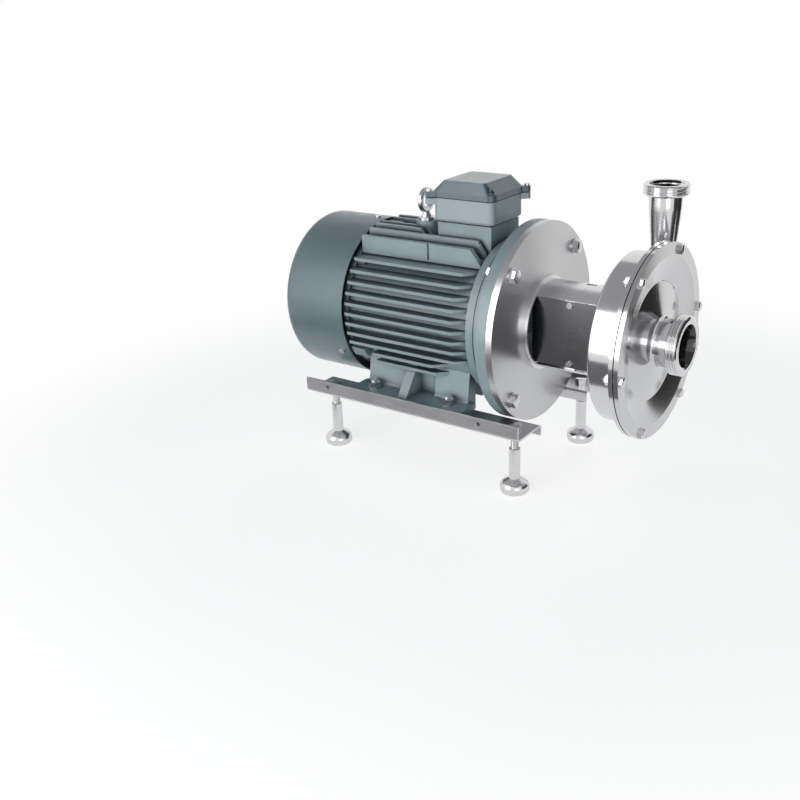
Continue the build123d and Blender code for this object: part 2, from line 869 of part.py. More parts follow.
def motor_shaft():
    """Stepped steel shaft with the fan seat, two bearing seats and the coupling end."""
    fan_end_x = fan_x - fan_hub_length - shaft_tail
    rear_seat_x = rear_bearing_x - bearing_width
    front_seat_x = front_bearing_x - bearing_width
    shaft = turned(
        (fan_end_x, 0), (fan_end_x, fan_seat_r), (rear_seat_x - shaft_step, fan_seat_r),
        (rear_seat_x - shaft_step, bearing_bore_r),
        (rear_bearing_x, bearing_bore_r), (rear_bearing_x, core_bore_r), (front_seat_x, core_bore_r),
        (front_seat_x, bearing_bore_r), (front_bearing_x, bearing_bore_r), (front_bearing_x, shaft_end_r),
        (shaft_nose_x, shaft_end_r), (shaft_nose_x, 0),
    )
    start_x = stub_back_x + key_start
    half_way = key_w / 2 + seat_gap
    shaft -= block((start_x - seat_gap, start_x + key_length + seat_gap), (-half_way, half_way),
                   (shaft_end_r - key_h / 2 - seat_gap, shaft_end_r + 1))
    return shaft


def bearing_starts():
    """The -X face of each ball bearing."""
    return rear_bearing_x - bearing_width, front_bearing_x - bearing_width


def bearing_outer_rings():
    """Outer rings with their dust shields."""
    inner_r = bearing_outer_r - bearing_ring_t
    shield_r = bearing_bore_r + bearing_ring_t + running_room
    rings = []
    for x in bearing_starts():
        end_x = x + bearing_width
        rings.append(turned(
            (x, shield_r), (x, bearing_outer_r), (end_x, bearing_outer_r), (end_x, shield_r),
            (end_x - bearing_shield_t, shield_r), (end_x - bearing_shield_t, inner_r),
            (x + bearing_shield_t, inner_r), (x + bearing_shield_t, shield_r),
        ))
    return group(rings)


def bearing_inner_rings():
    """Inner rings on the motor shaft."""
    outer_r = bearing_bore_r + bearing_ring_t
    return group(x_tube(x, x + bearing_width, outer_r, bearing_bore_r + seat_gap) for x in bearing_starts())


def bearing_balls():
    """Balls that roll between the rings."""
    room = bearing_outer_r - bearing_bore_r - 2 * bearing_ring_t
    radius = (room - running_room - seat_gap) / 2
    middle_r = bearing_bore_r + bearing_ring_t + seat_gap + radius
    return group(
        Pos(x + bearing_width / 2, y, z) * Sphere(radius)
        for x in bearing_starts() for y, z in circle_places(ball_count, middle_r, 0)
    )


def rotor_core():
    """Laminated rotor."""
    return x_tube(core_back_x, core_front_x, rotor_r, core_bore_r + seat_gap)


def rotor_cage():
    """End rings of the rotor's cage, one at each end of the core."""
    outer_r = rotor_r - cage_inset
    inner_r = outer_r - cage_ring_depth
    return group((
        x_tube(core_front_x, core_front_x + cage_ring_t, outer_r, inner_r),
        x_tube(core_back_x - cage_ring_t, core_back_x, outer_r, inner_r),
    ))


def stator_core():
    """Laminated stator in the frame's bore."""
    return x_tube(core_back_x, core_front_x, stator_r - seat_gap, bore_gap_r)


def stator_winding():
    """Lacquered end turns at both ends of the stator."""

    def end_turns(face_x, away):
        tip_x = face_x + away * winding_length
        return turned(
            (face_x, winding_inner_r), (face_x, winding_outer_r), (tip_x, winding_outer_r, winding_edge),
            (tip_x, winding_inner_r, winding_edge),
        )

    return group((end_turns(core_front_x, 1), end_turns(core_back_x, -1)))


# Motor shields and frame

def drive_end_shield():
    """Cast shield with the round bolting flange, its spigots and the front bearing seat."""
    seat_back_x = front_bearing_x - bearing_width
    shaft_hole_r = shaft_end_r + seal_lip_t
    front_recess_r = spigot_r - front_recess_inset
    back_recess_r = stator_r - back_recess_inset
    shield = turned(
        (disc_back_x, disc_r), (disc_back_x, spigot_r), (shield_face_x, spigot_r),
        (shield_face_x, front_recess_r), (shield_web_x, front_recess_r - shield_draft, shield_wall),
        (shield_web_x, shaft_hole_r), (front_bearing_x, shaft_hole_r),
        (front_bearing_x, bearing_outer_r + seat_gap), (seat_back_x, bearing_outer_r + seat_gap),
        (seat_back_x, bearing_outer_r + bearing_seat_wall),
        (shield_web_x - shield_wall, bearing_outer_r + bearing_seat_wall),
        (shield_web_x - shield_wall, back_recess_r - shield_lip), (frame_front_x - shield_lip, back_recess_r),
        (frame_front_x - shield_lip, stator_r - seat_gap), (frame_front_x, stator_r - seat_gap),
        (frame_front_x, shield_rim_r), (flange_back_x, shield_rim_r + shield_rim_draft),
        (flange_back_x, disc_r),
    )
    for y, z in shield_screw_places:
        shield -= x_rod(frame_front_x - 1, shield_face_x + 1, shield_screw_r + bolt_room, y, z)
        shield -= x_rod(shield_screw_seat_x, shield_face_x + 1, shield_screw_head_r + bolt_room, y, z)
    for y, z in flange_bolt_places:
        shield -= x_rod(flange_back_x - 1, disc_back_x + 1, flange_hole_r, y, z)
    return shield


def rear_end_shield():
    """Cast shield with the rear bearing seat and three lugs for the fan cover."""
    seat_back_x = rear_bearing_x - bearing_width
    hub_outer_r = bearing_outer_r + bearing_seat_wall
    hub_front_end_x = rear_bearing_x + shield_lip
    shaft_hole_r = core_bore_r + seal_lip_t
    back_recess_r = stator_r - back_recess_inset
    shield = turned(
        (frame_back_x, rear_shield_r), (frame_back_x, stator_r - seat_gap),
        (frame_back_x + shield_lip, stator_r - seat_gap), (frame_back_x + shield_lip, back_recess_r),
        (frame_back_x, back_recess_r - shield_draft), (frame_back_x, hub_outer_r),
        (hub_front_end_x, hub_outer_r), (hub_front_end_x, shaft_hole_r),
        (rear_bearing_x, shaft_hole_r), (rear_bearing_x, bearing_outer_r + seat_gap),
        (seat_back_x, bearing_outer_r + seat_gap), (seat_back_x, hub_outer_r),
        (rear_shield_back_x, hub_outer_r), (rear_shield_back_x, rear_shield_r),
    )
    lug_front_x = fan_cover_front_x - cover_lug_in
    inner_r = fan_cover_r - fan_cover_wall
    hole_x = fan_cover_front_x - fan_cover_screw_back
    for y, z in shield_screw_places:
        shield -= x_rod(frame_back_x + 1, rear_shield_back_x - 1, shield_screw_r + bolt_room, y, z)
    for angle in fan_cover_screw_angles:
        lug = block((lug_front_x - cover_lug_length, lug_front_x), (-cover_lug_w / 2, cover_lug_w / 2),
                    (rear_shield_r - rear_shield_t, inner_r - 2 * running_room))
        hole = z_rod(fan_cover_r - fan_cover_screw_length - 1, fan_cover_r,
                     fan_cover_screw_r + seat_gap, hole_x, 0)
        shield += Rot(angle - 90, 0, 0) * (lug - hole)
    return shield


def shield_screws():
    """Cap screws that hold both end shields to the frame."""
    clamped = shield_screw_seat_x - frame_front_x
    front = round_screw(shield_screw_r, clamped + shield_screw_depth, shield_screw_head_r, shield_screw_head_h)
    rear = round_screw(shield_screw_r, rear_shield_t + shield_screw_depth, shield_screw_head_r,
                       shield_screw_head_h)
    screws = [placed(front, (shield_screw_seat_x, y, z), (1, 0, 0)) for y, z in shield_screw_places]
    screws += [placed(rear, (rear_shield_back_x, y, z), (-1, 0, 0)) for y, z in shield_screw_places]
    return group(screws)


def side_fin(z, side, front_gap, rear_gap):
    """Horizontal cooling fin whose tip lies on the tip circle and whose front end is cut back."""
    tip = sqrt(fin_tip_r ** 2 - z ** 2)
    root = sqrt(barrel_r ** 2 - z ** 2) - fin_root_sunk
    back_x = frame_back_x + rear_gap
    tip_front_x = frame_front_x - front_gap
    section = rounded_face(with_rounding((
        (back_x, root), (back_x, tip - fin_rear_edge), (back_x + fin_rear_edge, tip),
        (tip_front_x, tip, fin_tip_rounding), (tip_front_x + fin_chamfer, root),
    )))
    return Pos(0, 0, z) * Rot(-90 * side, 0, 0) * extrude(section, fin_t / 2, both=True)


def upright_fin(y, thickness, z_low, z_high, front_gap):
    """Fin that stands along the shaft, its front corner cut back at a slant."""
    front_x = frame_front_x - front_gap
    corners = [
        (frame_back_x, 0, z_low), (frame_back_x, 0, z_high), (front_x, 0, z_high),
        (front_x + upright_chamfer, 0, z_low),
    ]
    fin = extrude(make_face(Polyline(*corners, close=True)), thickness / 2, both=True, dir=(0, 1, 0))
    return Pos(0, y, 0) * fin


def along_shaft(section, x_from, x_to):
    """Section drawn as (y, z) corners, extruded along the shaft between two stations."""
    bar = Rot(0, 0, 90) * extrude(section, x_to - x_from, dir=(0, -1, 0))
    return Pos(x_from, 0, 0) * bar


def motor_foot(side):
    """Cast foot: plate on the rail, leaning wall up to the barrel with a pocket, and a middle rib."""
    half = foot_plate_length / 2
    plate_top_z = rail_top_z + foot_plate_t
    plate_y = foot_plate_reach - foot_plate_width / 2
    plate = extrude(RectangleRounded(foot_plate_length, foot_plate_width, foot_plate_corner), foot_plate_t)
    inner_y = foot_wall_y - foot_wall_t
    top_y = foot_wall_y - foot_wall_draft
    wall_top = 1 - sqrt(barrel_r ** 2 - top_y ** 2)
    wall_section = rounded_face(with_rounding((
        (side * inner_y, rail_top_z), (side * (foot_wall_y + foot_wall_fillet), rail_top_z),
        (side * (foot_wall_y + foot_wall_fillet), plate_top_z),
        (side * foot_wall_y, plate_top_z, foot_wall_fillet), (side * top_y, wall_top),
        (side * inner_y, wall_top),
    )))
    wall = along_shaft(wall_section, foot_plate_x - half + foot_wall_rear_inset,
                       foot_plate_x + half - foot_wall_front_inset)
    pocket_x = frame_front_x - foot_pocket_along
    pocket = block((pocket_x - foot_pocket_length / 2, pocket_x + foot_pocket_length / 2),
                   (side * (foot_wall_y - foot_pocket_depth), side * (foot_wall_y + foot_wall_fillet + 1)),
                   (plate_top_z, wall_top + 1))
    rib_x = frame_front_x - foot_rib_along
    rib_inner_y = side * (foot_wall_y - foot_pocket_depth)
    rib_section = rounded_face(with_rounding((
        (rib_inner_y, wall_top), (side * (foot_wall_y - foot_wall_draft + foot_rib_rise), wall_top),
        (side * (foot_plate_reach - foot_rib_inset), plate_top_z), (rib_inner_y, plate_top_z),
    )))
    rib = along_shaft(rib_section, rib_x - foot_rib_w / 2, rib_x + foot_rib_w / 2)
    return Pos(foot_plate_x, side * plate_y, rail_top_z) * plate + wall - pocket + rib


def cover_bosses():
    """Cast bosses at the rear edge of the barrel, in line with the fan cover's screws."""
    boss = block((frame_back_x, frame_back_x + cover_boss_length), (-cover_boss_w / 2, cover_boss_w / 2),
                 (barrel_r - barrel_wall / 2, barrel_r + cover_boss_rise))
    return [Rot(angle - 90, 0, 0) * boss for angle in fan_cover_screw_angles]


def motor_frame():
    """Cast frame: barrel, side and crown fins, nameplate pads, box boss, eye boss and feet."""
    frame = x_rod(frame_back_x, frame_front_x, barrel_r)
    frame += x_rod(frame_front_x - front_ring_length, frame_front_x, shield_rim_r)
    for side in (near, far):
        for i in range(fin_count):
            is_short = i >= fin_count - short_fin_count
            gaps = (short_fin_front_gap, short_fin_rear_gap) if is_short else (fin_front_gap, 0)
            frame += side_fin(fin_top_z - i * fin_pitch, side, *gaps)
        panel_middle_y = side * (panel_y - panel_t / 2)
        frame += upright_fin(panel_middle_y, panel_t, panel_bottom_z, panel_top_z, fin_front_gap)
        frame += upright_fin(side * crown_fin_y, fin_t, top_root_z, barrel_r + crown_fin_rise, fin_front_gap)
        for y in ridge_fin_ys:
            top_z = barrel_r + ridge_fin_rise
            frame += upright_fin(side * y, fin_t, top_root_z, top_z, ridge_fin_front_gap)
        for y in keel_fin_ys:
            frame += upright_fin(side * y, fin_t, -top_root_z, -barrel_r - keel_fin_drop, fin_front_gap)
        frame += motor_foot(side)
    frame += cover_bosses()
    for y, z in shield_screw_places:
        frame += x_rod(frame_back_x, frame_back_x + rear_boss_length, rear_boss_r, y, z)
    half_length = box_length / 2 - boss_inset
    half_width = box_width / 2 - boss_inset
    frame += block((box_x - half_length, box_x + half_length), (-half_width, half_width),
                   (top_root_z, boss_top_z))
    frame += z_rod(top_root_z, eye_boss_top_z, eye_boss_r, eye_x, 0)
    frame -= z_rod(eye_boss_top_z - eye_stud_length, eye_boss_top_z + 1, eye_stud_r + seat_gap, eye_x, 0)
    frame -= x_rod(frame_back_x - 1, frame_front_x + 1, stator_r)
    frame -= block((box_x - cable_way / 2, box_x + cable_way / 2), (-cable_way / 2, cable_way / 2),
                   (stator_r - cable_way_sunk, boss_top_z + 1))
    depth = shield_screw_depth + seat_gap
    for y, z in shield_screw_places:
        frame -= x_rod(frame_front_x - depth, frame_front_x + 1, shield_screw_r + seat_gap, y, z)
        frame -= x_rod(frame_back_x - 1, frame_back_x + depth, shield_screw_r + seat_gap, y, z)
    for x in foot_xs:
        for side in (near, far):
            frame -= z_rod(rail_top_z - 1, rail_top_z + foot_plate_t + 1, foot_bolt_r + bolt_room,
                           x, side * foot_across / 2)
    joint_x = frame_front_x - panel_joint_back
    for side in (near, far):
        frame -= block((joint_x - panel_joint_w / 2, joint_x + panel_joint_w / 2),
                       (side * (panel_y - panel_joint_depth), side * (panel_y + 1)),
                       (panel_bottom_z + panel_joint_w, panel_top_z + 1))
    return frame


# Terminal box and lifting eye

ear_sides = ((near, near), (far, far))
inboard_sides = ((far, near), (near, far))
ear_places = [(box_x + sx * (box_length / 2 + lid_ear_out), sy * (box_width / 2 + lid_ear_out))
              for sx, sy in ear_sides]
inboard_places = [(box_x + sx * (box_length / 2 - lid_screw_in), sy * (box_width / 2 - lid_screw_in))
                  for sx, sy in inboard_sides]
lid_screw_places = ear_places + inboard_places


def screw_ears(radius, z_from, z_to):
    """The two ears outside opposite corners of the box, each with an arm back to its corner."""
    ears = []
    for (x, y), (_, sy) in zip(ear_places, ear_sides):
        arm = block((0, box_corner_r + lid_ear_out), (-radius, radius), (z_from, z_to))
        inward = 45 if sy == near else 225
        ears.append(z_rod(z_from, z_to, radius, x, y) + Pos(x, y, 0) * Rot(0, 0, inward) * arm)
    return ears


def box_slab(length, width, z_from, z_to, corner_r=box_corner_r):
    """Upright block with rounded corners, centred on the terminal box."""
    return Pos(box_x, 0, z_from) * extrude(RectangleRounded(length, width, corner_r), z_to - z_from)


def square_well(z_from, z_to):
    """Square way for the motor's leads."""
    half = cable_way / 2
    return block((box_x - half, box_x + half), (-half, half), (z_from, z_to))


def terminal_box_base():
    """Open cast box with screw ears and pillars under its rim, the gland's hole and a blanked second one."""
    base = box_slab(box_length, box_width, box_foot_z, box_rim_z)
    base = fillet(base.faces().sort_by(Axis.Z)[0].edges(), box_foot_edge)
    base += screw_ears(lid_ear_r, box_rim_z - lid_ear_t, box_rim_z)
    base -= box_slab(box_length - 2 * box_wall, box_width - 2 * box_wall, box_foot_z + box_wall, box_rim_z + 1)
    base -= square_well(box_foot_z - 1, box_foot_z + box_wall + 1)
    for x, y in inboard_places:
        core = z_rod(box_rim_z - 2 * lid_ear_t, box_rim_z, lid_screw_r + box_wall, x, y)
        base += core & box_slab(box_length, box_width, box_foot_z, box_rim_z)
    for x, y in lid_screw_places:
        base -= z_rod(box_rim_z - lid_screw_depth - 1, box_rim_z + 1, lid_screw_r + seat_gap, x, y)
    gland_hole = z_rod(-box_wall - 1, 1, gland_thread_r + seat_gap, 0, 0)
    base -= placed(gland_hole, (gland_x, box_width / 2, gland_z), (0, 1, 0))
    blank = z_rod(-box_wall / 2, blank_rise, blank_r, 0, 0)
    return base + placed(blank, (blank_x, box_width / 2, gland_z), (0, 1, 0))


def lid_crown(inset, z_low, z_high):
    """Sloped crown of the lid, inside or outside of its wall."""
    low = RectangleRounded(lid_length - 2 * inset, lid_width - 2 * inset, lid_corner_r)
    high = RectangleRounded(lid_top_length - 2 * inset, lid_top_width - 2 * inset, lid_top_corner_r)
    return loft([Pos(box_x, 0, z_low) * low, Pos(box_x, 0, z_high) * high])


def terminal_box_lid():
    """Lid with a deep skirt and a sloped crown, and a flat seat for each screw's head."""
    outside = box_slab(lid_length, lid_width, lid_foot_z, lid_shoulder_z, lid_corner_r)
    outside += lid_crown(0, lid_shoulder_z, lid_top_z)
    inside_length = lid_length - 2 * (lid_overhang + box_wall)
    inside_width = lid_width - 2 * (lid_overhang + box_wall)
    lid = outside - box_slab(inside_length, inside_width, lid_foot_z - 1, lid_shoulder_z, lid_corner_r)
    lid -= lid_crown(lid_overhang + box_wall, lid_shoulder_z, lid_top_z - box_wall)
    seat_r = lid_screw_head_r + lid_seat_room
    for x, y in inboard_places:
        lid += z_rod(lid_foot_z, lid_top_z, seat_r + lid_pillar_wall, x, y) & outside
    lid += screw_ears(lid_ear_r, lid_foot_z, lid_shoulder_z)
    for x, y in lid_screw_places:
        lid -= z_rod(lid_foot_z - 1, lid_top_z, lid_screw_r + bolt_room, x, y)
        lid -= z_rod(lid_shoulder_z, lid_top_z + 1, seat_r, x, y)
    return lid


def box_gaskets():
    """Gasket under the lid, and the seal between box and boss that shows as a dark line."""
    lid_ring = box_slab(box_length - seal_inset, box_width - seal_inset, box_rim_z, lid_foot_z)
    lid_ring -= box_slab(box_length - 2 * box_wall, box_width - 2 * box_wall, box_rim_z - 1, lid_foot_z + 1)
    for x, y in inboard_places:
        lid_ring += z_rod(box_rim_z, lid_foot_z, lid_screw_r + box_wall, x, y)
    lid_ring += screw_ears(lid_ear_r - seal_inset, box_rim_z, lid_foot_z)
    for x, y in lid_screw_places:
        lid_ring -= z_rod(box_rim_z - 1, lid_foot_z + 1, lid_screw_r + bolt_room, x, y)
    inset = 2 * (boss_inset + seal_inset)
    foot_ring = box_slab(box_length - inset, box_width - inset, boss_top_z, box_foot_z)
    foot_ring -= square_well(boss_top_z - 1, box_foot_z + 1)
    return group((lid_ring, foot_ring))


def box_lid_screws():
    """Pan-head screws that hold the lid."""
    length = lid_shoulder_z - box_rim_z + lid_screw_depth
    screw = round_screw(lid_screw_r, length, lid_screw_head_r, small_head_h)
    return group(Pos(x, y, lid_shoulder_z) * screw for x, y in lid_screw_places)


def cable_gland():
    """Cable gland in the far wall of the terminal box, open for the supply cable."""
    half = gland_collar_h / 2
    body = z_rod(-box_wall - half, 0, gland_thread_r, 0, 0) + hexagon(gland_hex, half)
    body += z_rod(half, gland_collar_h, gland_r, 0, 0)
    bored = body - z_rod(-box_wall - half - 1, gland_collar_h + 1, gland_bore_r, 0, 0)
    return placed(bored, (gland_x, box_width / 2, gland_z), (0, 1, 0))


def gland_nut():
    """Dome nut that squeezes the gland on its cable."""
    top = gland_collar_h + gland_nut_h
    dome = turned_upright((0, top - gland_dome_h), (gland_r, top - gland_dome_h),
                          (gland_bore_r + gland_dome_lip, top), (0, top))
    nut = hexagon(gland_nut_hex, gland_nut_h - gland_dome_h, gland_collar_h) + dome
    bored = nut - z_rod(gland_collar_h - 1, top + 1, gland_bore_r, 0, 0)
    return placed(bored, (gland_x, box_width / 2, gland_z), (0, 1, 0))


def terminal_board():
    """Moulded board on the floor of the box."""
    length = terminal_columns * terminal_pitch + 2 * board_margin
    width = terminal_rows * terminal_pitch + 2 * board_margin
    low = box_foot_z + box_wall
    board = box_slab(length, width, low, low + board_t)
    for x, y in terminal_places():
        board -= z_rod(low - 1, low + board_t + 1, terminal_r + seat_gap, x, y)
    return board


def terminal_places():
    """Centres of the terminal studs."""
    return [
        (box_x + (column - (terminal_columns - 1) / 2) * terminal_pitch, (row - 0.5) * terminal_pitch)
        for row in range(terminal_rows) for column in range(terminal_columns)
    ]


def terminal_studs():
    """Brass studs with their nuts."""
    low = box_foot_z + box_wall
    top = low + board_t
    stud = z_rod(low, top + terminal_rise, terminal_r, 0, 0)
    stud += hexagon(terminal_hex, nut_height(terminal_r), top)
    return group(Pos(x, y, 0) * stud for x, y in terminal_places())


def lifting_eye():
    """Eye bolt in the top of the frame, its hole along the shaft."""
    half = eye_t / 2
    ring = turned((-half, eye_hole_r, eye_edge), (-half, eye_outer_r, eye_edge),
                  (half, eye_outer_r, eye_edge), (half, eye_hole_r, eye_edge))
    collar_top_z = eye_boss_top_z + eye_collar_t
    neck = turned_upright((0, collar_top_z), (eye_neck_low_r, collar_top_z),
                          (eye_neck_high_r, collar_top_z + eye_neck_h), (0, collar_top_z + eye_neck_h))
    eye = Pos(eye_x, 0, eye_boss_top_z + eye_ring_up) * ring + Pos(eye_x, 0, 0) * neck
    eye += z_rod(eye_boss_top_z, collar_top_z, eye_collar_r, eye_x, 0)
    eye += z_rod(eye_boss_top_z - eye_stud_length + 1, eye_boss_top_z, eye_stud_r, eye_x, 0)
    return eye


# Fan end

def fan_cover():
    """Sheet-steel cover with rings of air slots in its rear face."""
    inner_r = fan_cover_r - fan_cover_wall
    inner_x = fan_cover_back_x + fan_cover_wall
    cover = turned(
        (fan_cover_front_x, fan_cover_r), (fan_cover_back_x, fan_cover_r, fan_cover_edge),
        (fan_cover_back_x, 0), (inner_x, 0), (inner_x, inner_r, fan_cover_edge - fan_cover_wall),
        (fan_cover_front_x, inner_r),
    )
    slots = []
    for share, length in zip(grille_ring_shares, grille_slot_lengths):
        radius = share * fan_cover_r
        count = round(2 * pi * radius / grille_pitch)
        slot = block((fan_cover_back_x - 1, inner_x + 1), (-grille_slot_w / 2, grille_slot_w / 2),
                     (radius - length / 2, radius + length / 2))
        slots += [Rot(360 * i / count, 0, 0) * slot for i in range(count)]
    cover -= slots
    for angle in fan_cover_screw_angles:
        hole = z_rod(inner_r - 1, fan_cover_r + 1, fan_cover_screw_r + bolt_room,
                     fan_cover_front_x - fan_cover_screw_back, 0)
        cover -= Rot(angle - 90, 0, 0) * hole
    return cover


def fan_cover_screws():
    """Screws through the fan cover into the rear shield's lugs."""
    screw = round_screw(fan_cover_screw_r, fan_cover_screw_length, fan_cover_screw_head_r, small_head_h)
    place = Pos(fan_cover_front_x - fan_cover_screw_back, 0, fan_cover_r)
    return group(Rot(angle - 90, 0, 0) * place * screw for angle in fan_cover_screw_angles)


def cooling_fan():
    """Moulded fan with straight blades that blow in either direction of turning."""
    hub_back_x = fan_x - fan_hub_length
    fan = turned(
        (fan_x, fan_seat_r + seat_gap), (fan_x, fan_r), (fan_x - fan_plate_t, fan_r),
        (fan_x - fan_plate_t, fan_hub_r), (hub_back_x, fan_hub_r - fan_hub_taper),
        (hub_back_x, fan_seat_r + seat_gap),
    )
    root_r = fan_hub_r - fan_hub_taper
    corners = [
        (fan_x - fan_plate_t / 2, 0, root_r), (fan_x - fan_plate_t / 2, 0, fan_r),
        (fan_x - fan_blade_tip_depth, 0, fan_r), (fan_x - fan_blade_depth, 0, fan_r - fan_blade_tip_cut),
        (fan_x - fan_blade_root_depth, 0, root_r),
    ]
    blade = extrude(make_face(Polyline(*corners, close=True)), fan_blade_t / 2, both=True, dir=(0, 1, 0))
    for i in range(fan_blade_count):
        fan += Rot(360 * i / fan_blade_count, 0, 0) * blade
    return fan


def fan_circlip():
    """Snap ring that keeps the fan on its seat."""
    x = fan_x - fan_hub_length
    return x_tube(x - circlip_t, x, circlip_r, fan_seat_r + seat_gap)


# Lantern, adapter disc and motor bolts

def adapter_disc():
    """Round plate between the motor flange and the lantern."""
    disc = x_tube(disc_back_x, disc_front_x, disc_r, lantern_r - lantern_wall)
    disc -= x_rod(disc_back_x - 1, disc_back_x + spigot_t + running_room, spigot_r + seat_gap)
    for y, z in flange_bolt_places:
        disc -= x_rod(disc_back_x - 1, disc_front_x + 1, flange_hole_r, y, z)
    return disc


def lantern_tube():
    """Tube with two windows, a weld collar, a drain slot on top and tabs for the guard."""
    inner_r = lantern_r - lantern_wall
    tube = x_rod(disc_front_x, casing_back_x, lantern_r) + x_rod(disc_front_x, disc_front_x + collar_t, collar_r)
    tube -= x_rod(disc_front_x - 1, casing_back_x + 1, inner_r)
    window_x = disc_front_x + window_start + window_length / 2
    outline = RectangleRounded(window_length, 2 * window_half_height, window_corner)
    opening = extrude(outline, collar_r, both=True)
    tube -= Pos(window_x, 0, 0) * Rot(90, 0, 0) * opening
    vent = extrude(SlotOverall(vent_length, vent_width), collar_r)
    tube -= Pos(disc_front_x + vent_along, vent_y, 0) * vent
    for sign in (-1, 1):
        tube += guard_tab(sign)
    return tube


def guard_half_height():
    """Half of the window guard's height, which just clears the inside of the tube."""
    return sqrt((lantern_r - lantern_wall - guard_side_gap) ** 2 - guard_face_y ** 2)


def guard_screw_place(sign):
    """Centre of a guard screw on the guard's outer face."""
    return disc_front_x + guard_screw_along, -guard_face_y, sign * (guard_half_height() - guard_screw_inset)


def guard_tab(sign):
    """Bracket welded inside the tube, behind the guard, with a hole for its screw."""
    x, y, z = guard_screw_place(sign)
    x_span = (x - guard_tab_length / 2, x + guard_tab_length / 2)
    front_y = y + guard_t
    tab = block(x_span, (front_y, front_y + guard_tab_depth), (sign * guard_tab_low, sign * lantern_r))
    tab = tab & x_rod(*x_span, lantern_r - lantern_wall / 2)
    hole = z_rod(-guard_t - guard_tab_depth - 1, 1, guard_screw_r + seat_gap, 0, 0)
    return tab - placed(hole, (x, y, z), (0, -1, 0))


def window_guard():
    """Flat plate behind the near window."""
    start_x = disc_front_x + guard_end_gap
    end_x = casing_back_x - seal_carrier_back - guard_end_gap
    outline = RectangleRounded(end_x - start_x, 2 * guard_half_height(), guard_corner)
    middle = ((start_x + end_x) / 2, -guard_face_y, 0)
    plate = Plane(origin=middle, x_dir=(1, 0, 0), z_dir=(0, -1, 0)) * extrude(outline, -guard_t)
    hole = z_rod(-guard_t - 1, 1, guard_screw_r + bolt_room, 0, 0)
    for sign in (-1, 1):
        plate -= placed(hole, guard_screw_place(sign), (0, -1, 0))
    return plate


def guard_screws():
    """Screws that hold the window guard to its tabs."""
    screw = round_screw(guard_screw_r, guard_t + guard_tab_depth, guard_screw_head_r, small_head_h)
    return group(placed(screw, guard_screw_place(sign), (0, -1, 0)) for sign in (-1, 1))


def flange_bolts():
    """Hex bolts through the adapter disc and the motor flange."""
    clamped = washer_t + disc_t + motor_flange_t
    bolt = hex_bolt(flange_bolt_r, clamped + nut_height(flange_bolt_r) + thread_past_nut, flange_bolt_head)
    return group(placed(bolt, (disc_front_x + washer_t, y, z), (1, 0, 0)) for y, z in flange_bolt_places)


def flange_washers():
    """Washers under the heads of the flange bolts."""
    ring = washer(flange_bolt_r)
    return group(placed(ring, (disc_front_x, y, z), (1, 0, 0)) for y, z in flange_bolt_places)


def flange_nuts():
    """Nuts behind the motor flange."""
    nut = hex_nut(flange_bolt_r, flange_bolt_head)
    return group(placed(nut, (flange_back_x, y, z), (-1, 0, 0)) for y, z in flange_bolt_places)


# Rails and feet

def rail(side):
    """Folded Z rail: outer flange up, web under the motor feet, inner flange down."""
    outer = side * (rail_y + rail_half_w)
    inner = side * (rail_y - rail_half_w)
    step = side * rail_sheet
    outside_bend_r = rail_bend_r + rail_sheet
    section = rounded_face(with_rounding((
        (outer, rail_top_z + rail_flange_h), (outer, rail_under_z, outside_bend_r),
        (inner + step, rail_under_z, rail_bend_r), (inner + step, rail_under_z - rail_inner_flange_h),
        (inner, rail_under_z - rail_inner_flange_h), (inner, rail_top_z, outside_bend_r),
        (outer - step, rail_top_z, rail_bend_r), (outer - step, rail_top_z + rail_flange_h),
    )))
    bar = along_shaft(section, rail_back_x, rail_front_x)
    for x in foot_xs:
        bar -= z_rod(rail_under_z - 1, rail_top_z + 1, foot_bolt_r + bolt_room, x, side * foot_across / 2)
    for x in level_xs:
        bar -= z_rod(rail_under_z - 1, rail_top_z + 1, stud_r + seat_gap, x, side * rail_y)
    hole_z = rail_top_z + rail_side_hole_up
    for x in rail_side_hole_xs():
        hole = z_rod(-rail_sheet - 1, 1, rail_side_hole_r, 0, 0)
        bar -= placed(hole, (x, outer, hole_z), (0, side, 0))
    return bar


def rail_side_hole_xs():
    """Places of the two holes in the rail's outer flange."""
    return rail_back_x + rail_side_hole_insets[0], rail_front_x - rail_side_hole_insets[1]


def foot_bolt_places():
    """Centres of the four bolts that hold the motor on the rails."""
    return [(x, side * foot_across / 2) for x in foot_xs for side in (near, far)]


def motor_foot_bolts():
    """Bolts put in from below through the rails and the motor feet."""
    clamped = rail_sheet + foot_plate_t + washer_t
    bolt = hex_bolt(foot_bolt_r, clamped + nut_height(foot_bolt_r) + thread_past_nut, foot_bolt_head)
    return group(placed(bolt, (x, y, rail_under_z), (0, 0, -1)) for x, y in foot_bolt_places())


def motor_foot_washers():
    """Washers on the motor feet."""
    ring = washer(foot_bolt_r)
    return group(Pos(x, y, rail_top_z + foot_plate_t) * ring for x, y in foot_bolt_places())


def motor_foot_nuts():
    """Nuts on the motor feet."""
    nut = hex_nut(foot_bolt_r, foot_bolt_head)
    return group(Pos(x, y, rail_top_z + foot_plate_t + washer_t) * nut for x, y in foot_bolt_places())


def leveling_studs():
    """Four threaded studs, their heads on the rails."""
    length = rail_sheet + thread_shown + stud_engaged
    stud = hex_bolt(stud_r, length, stud_head)
    return group(Pos(x, side * rail_y, rail_top_z) * stud for x in level_xs for side in (near, far))


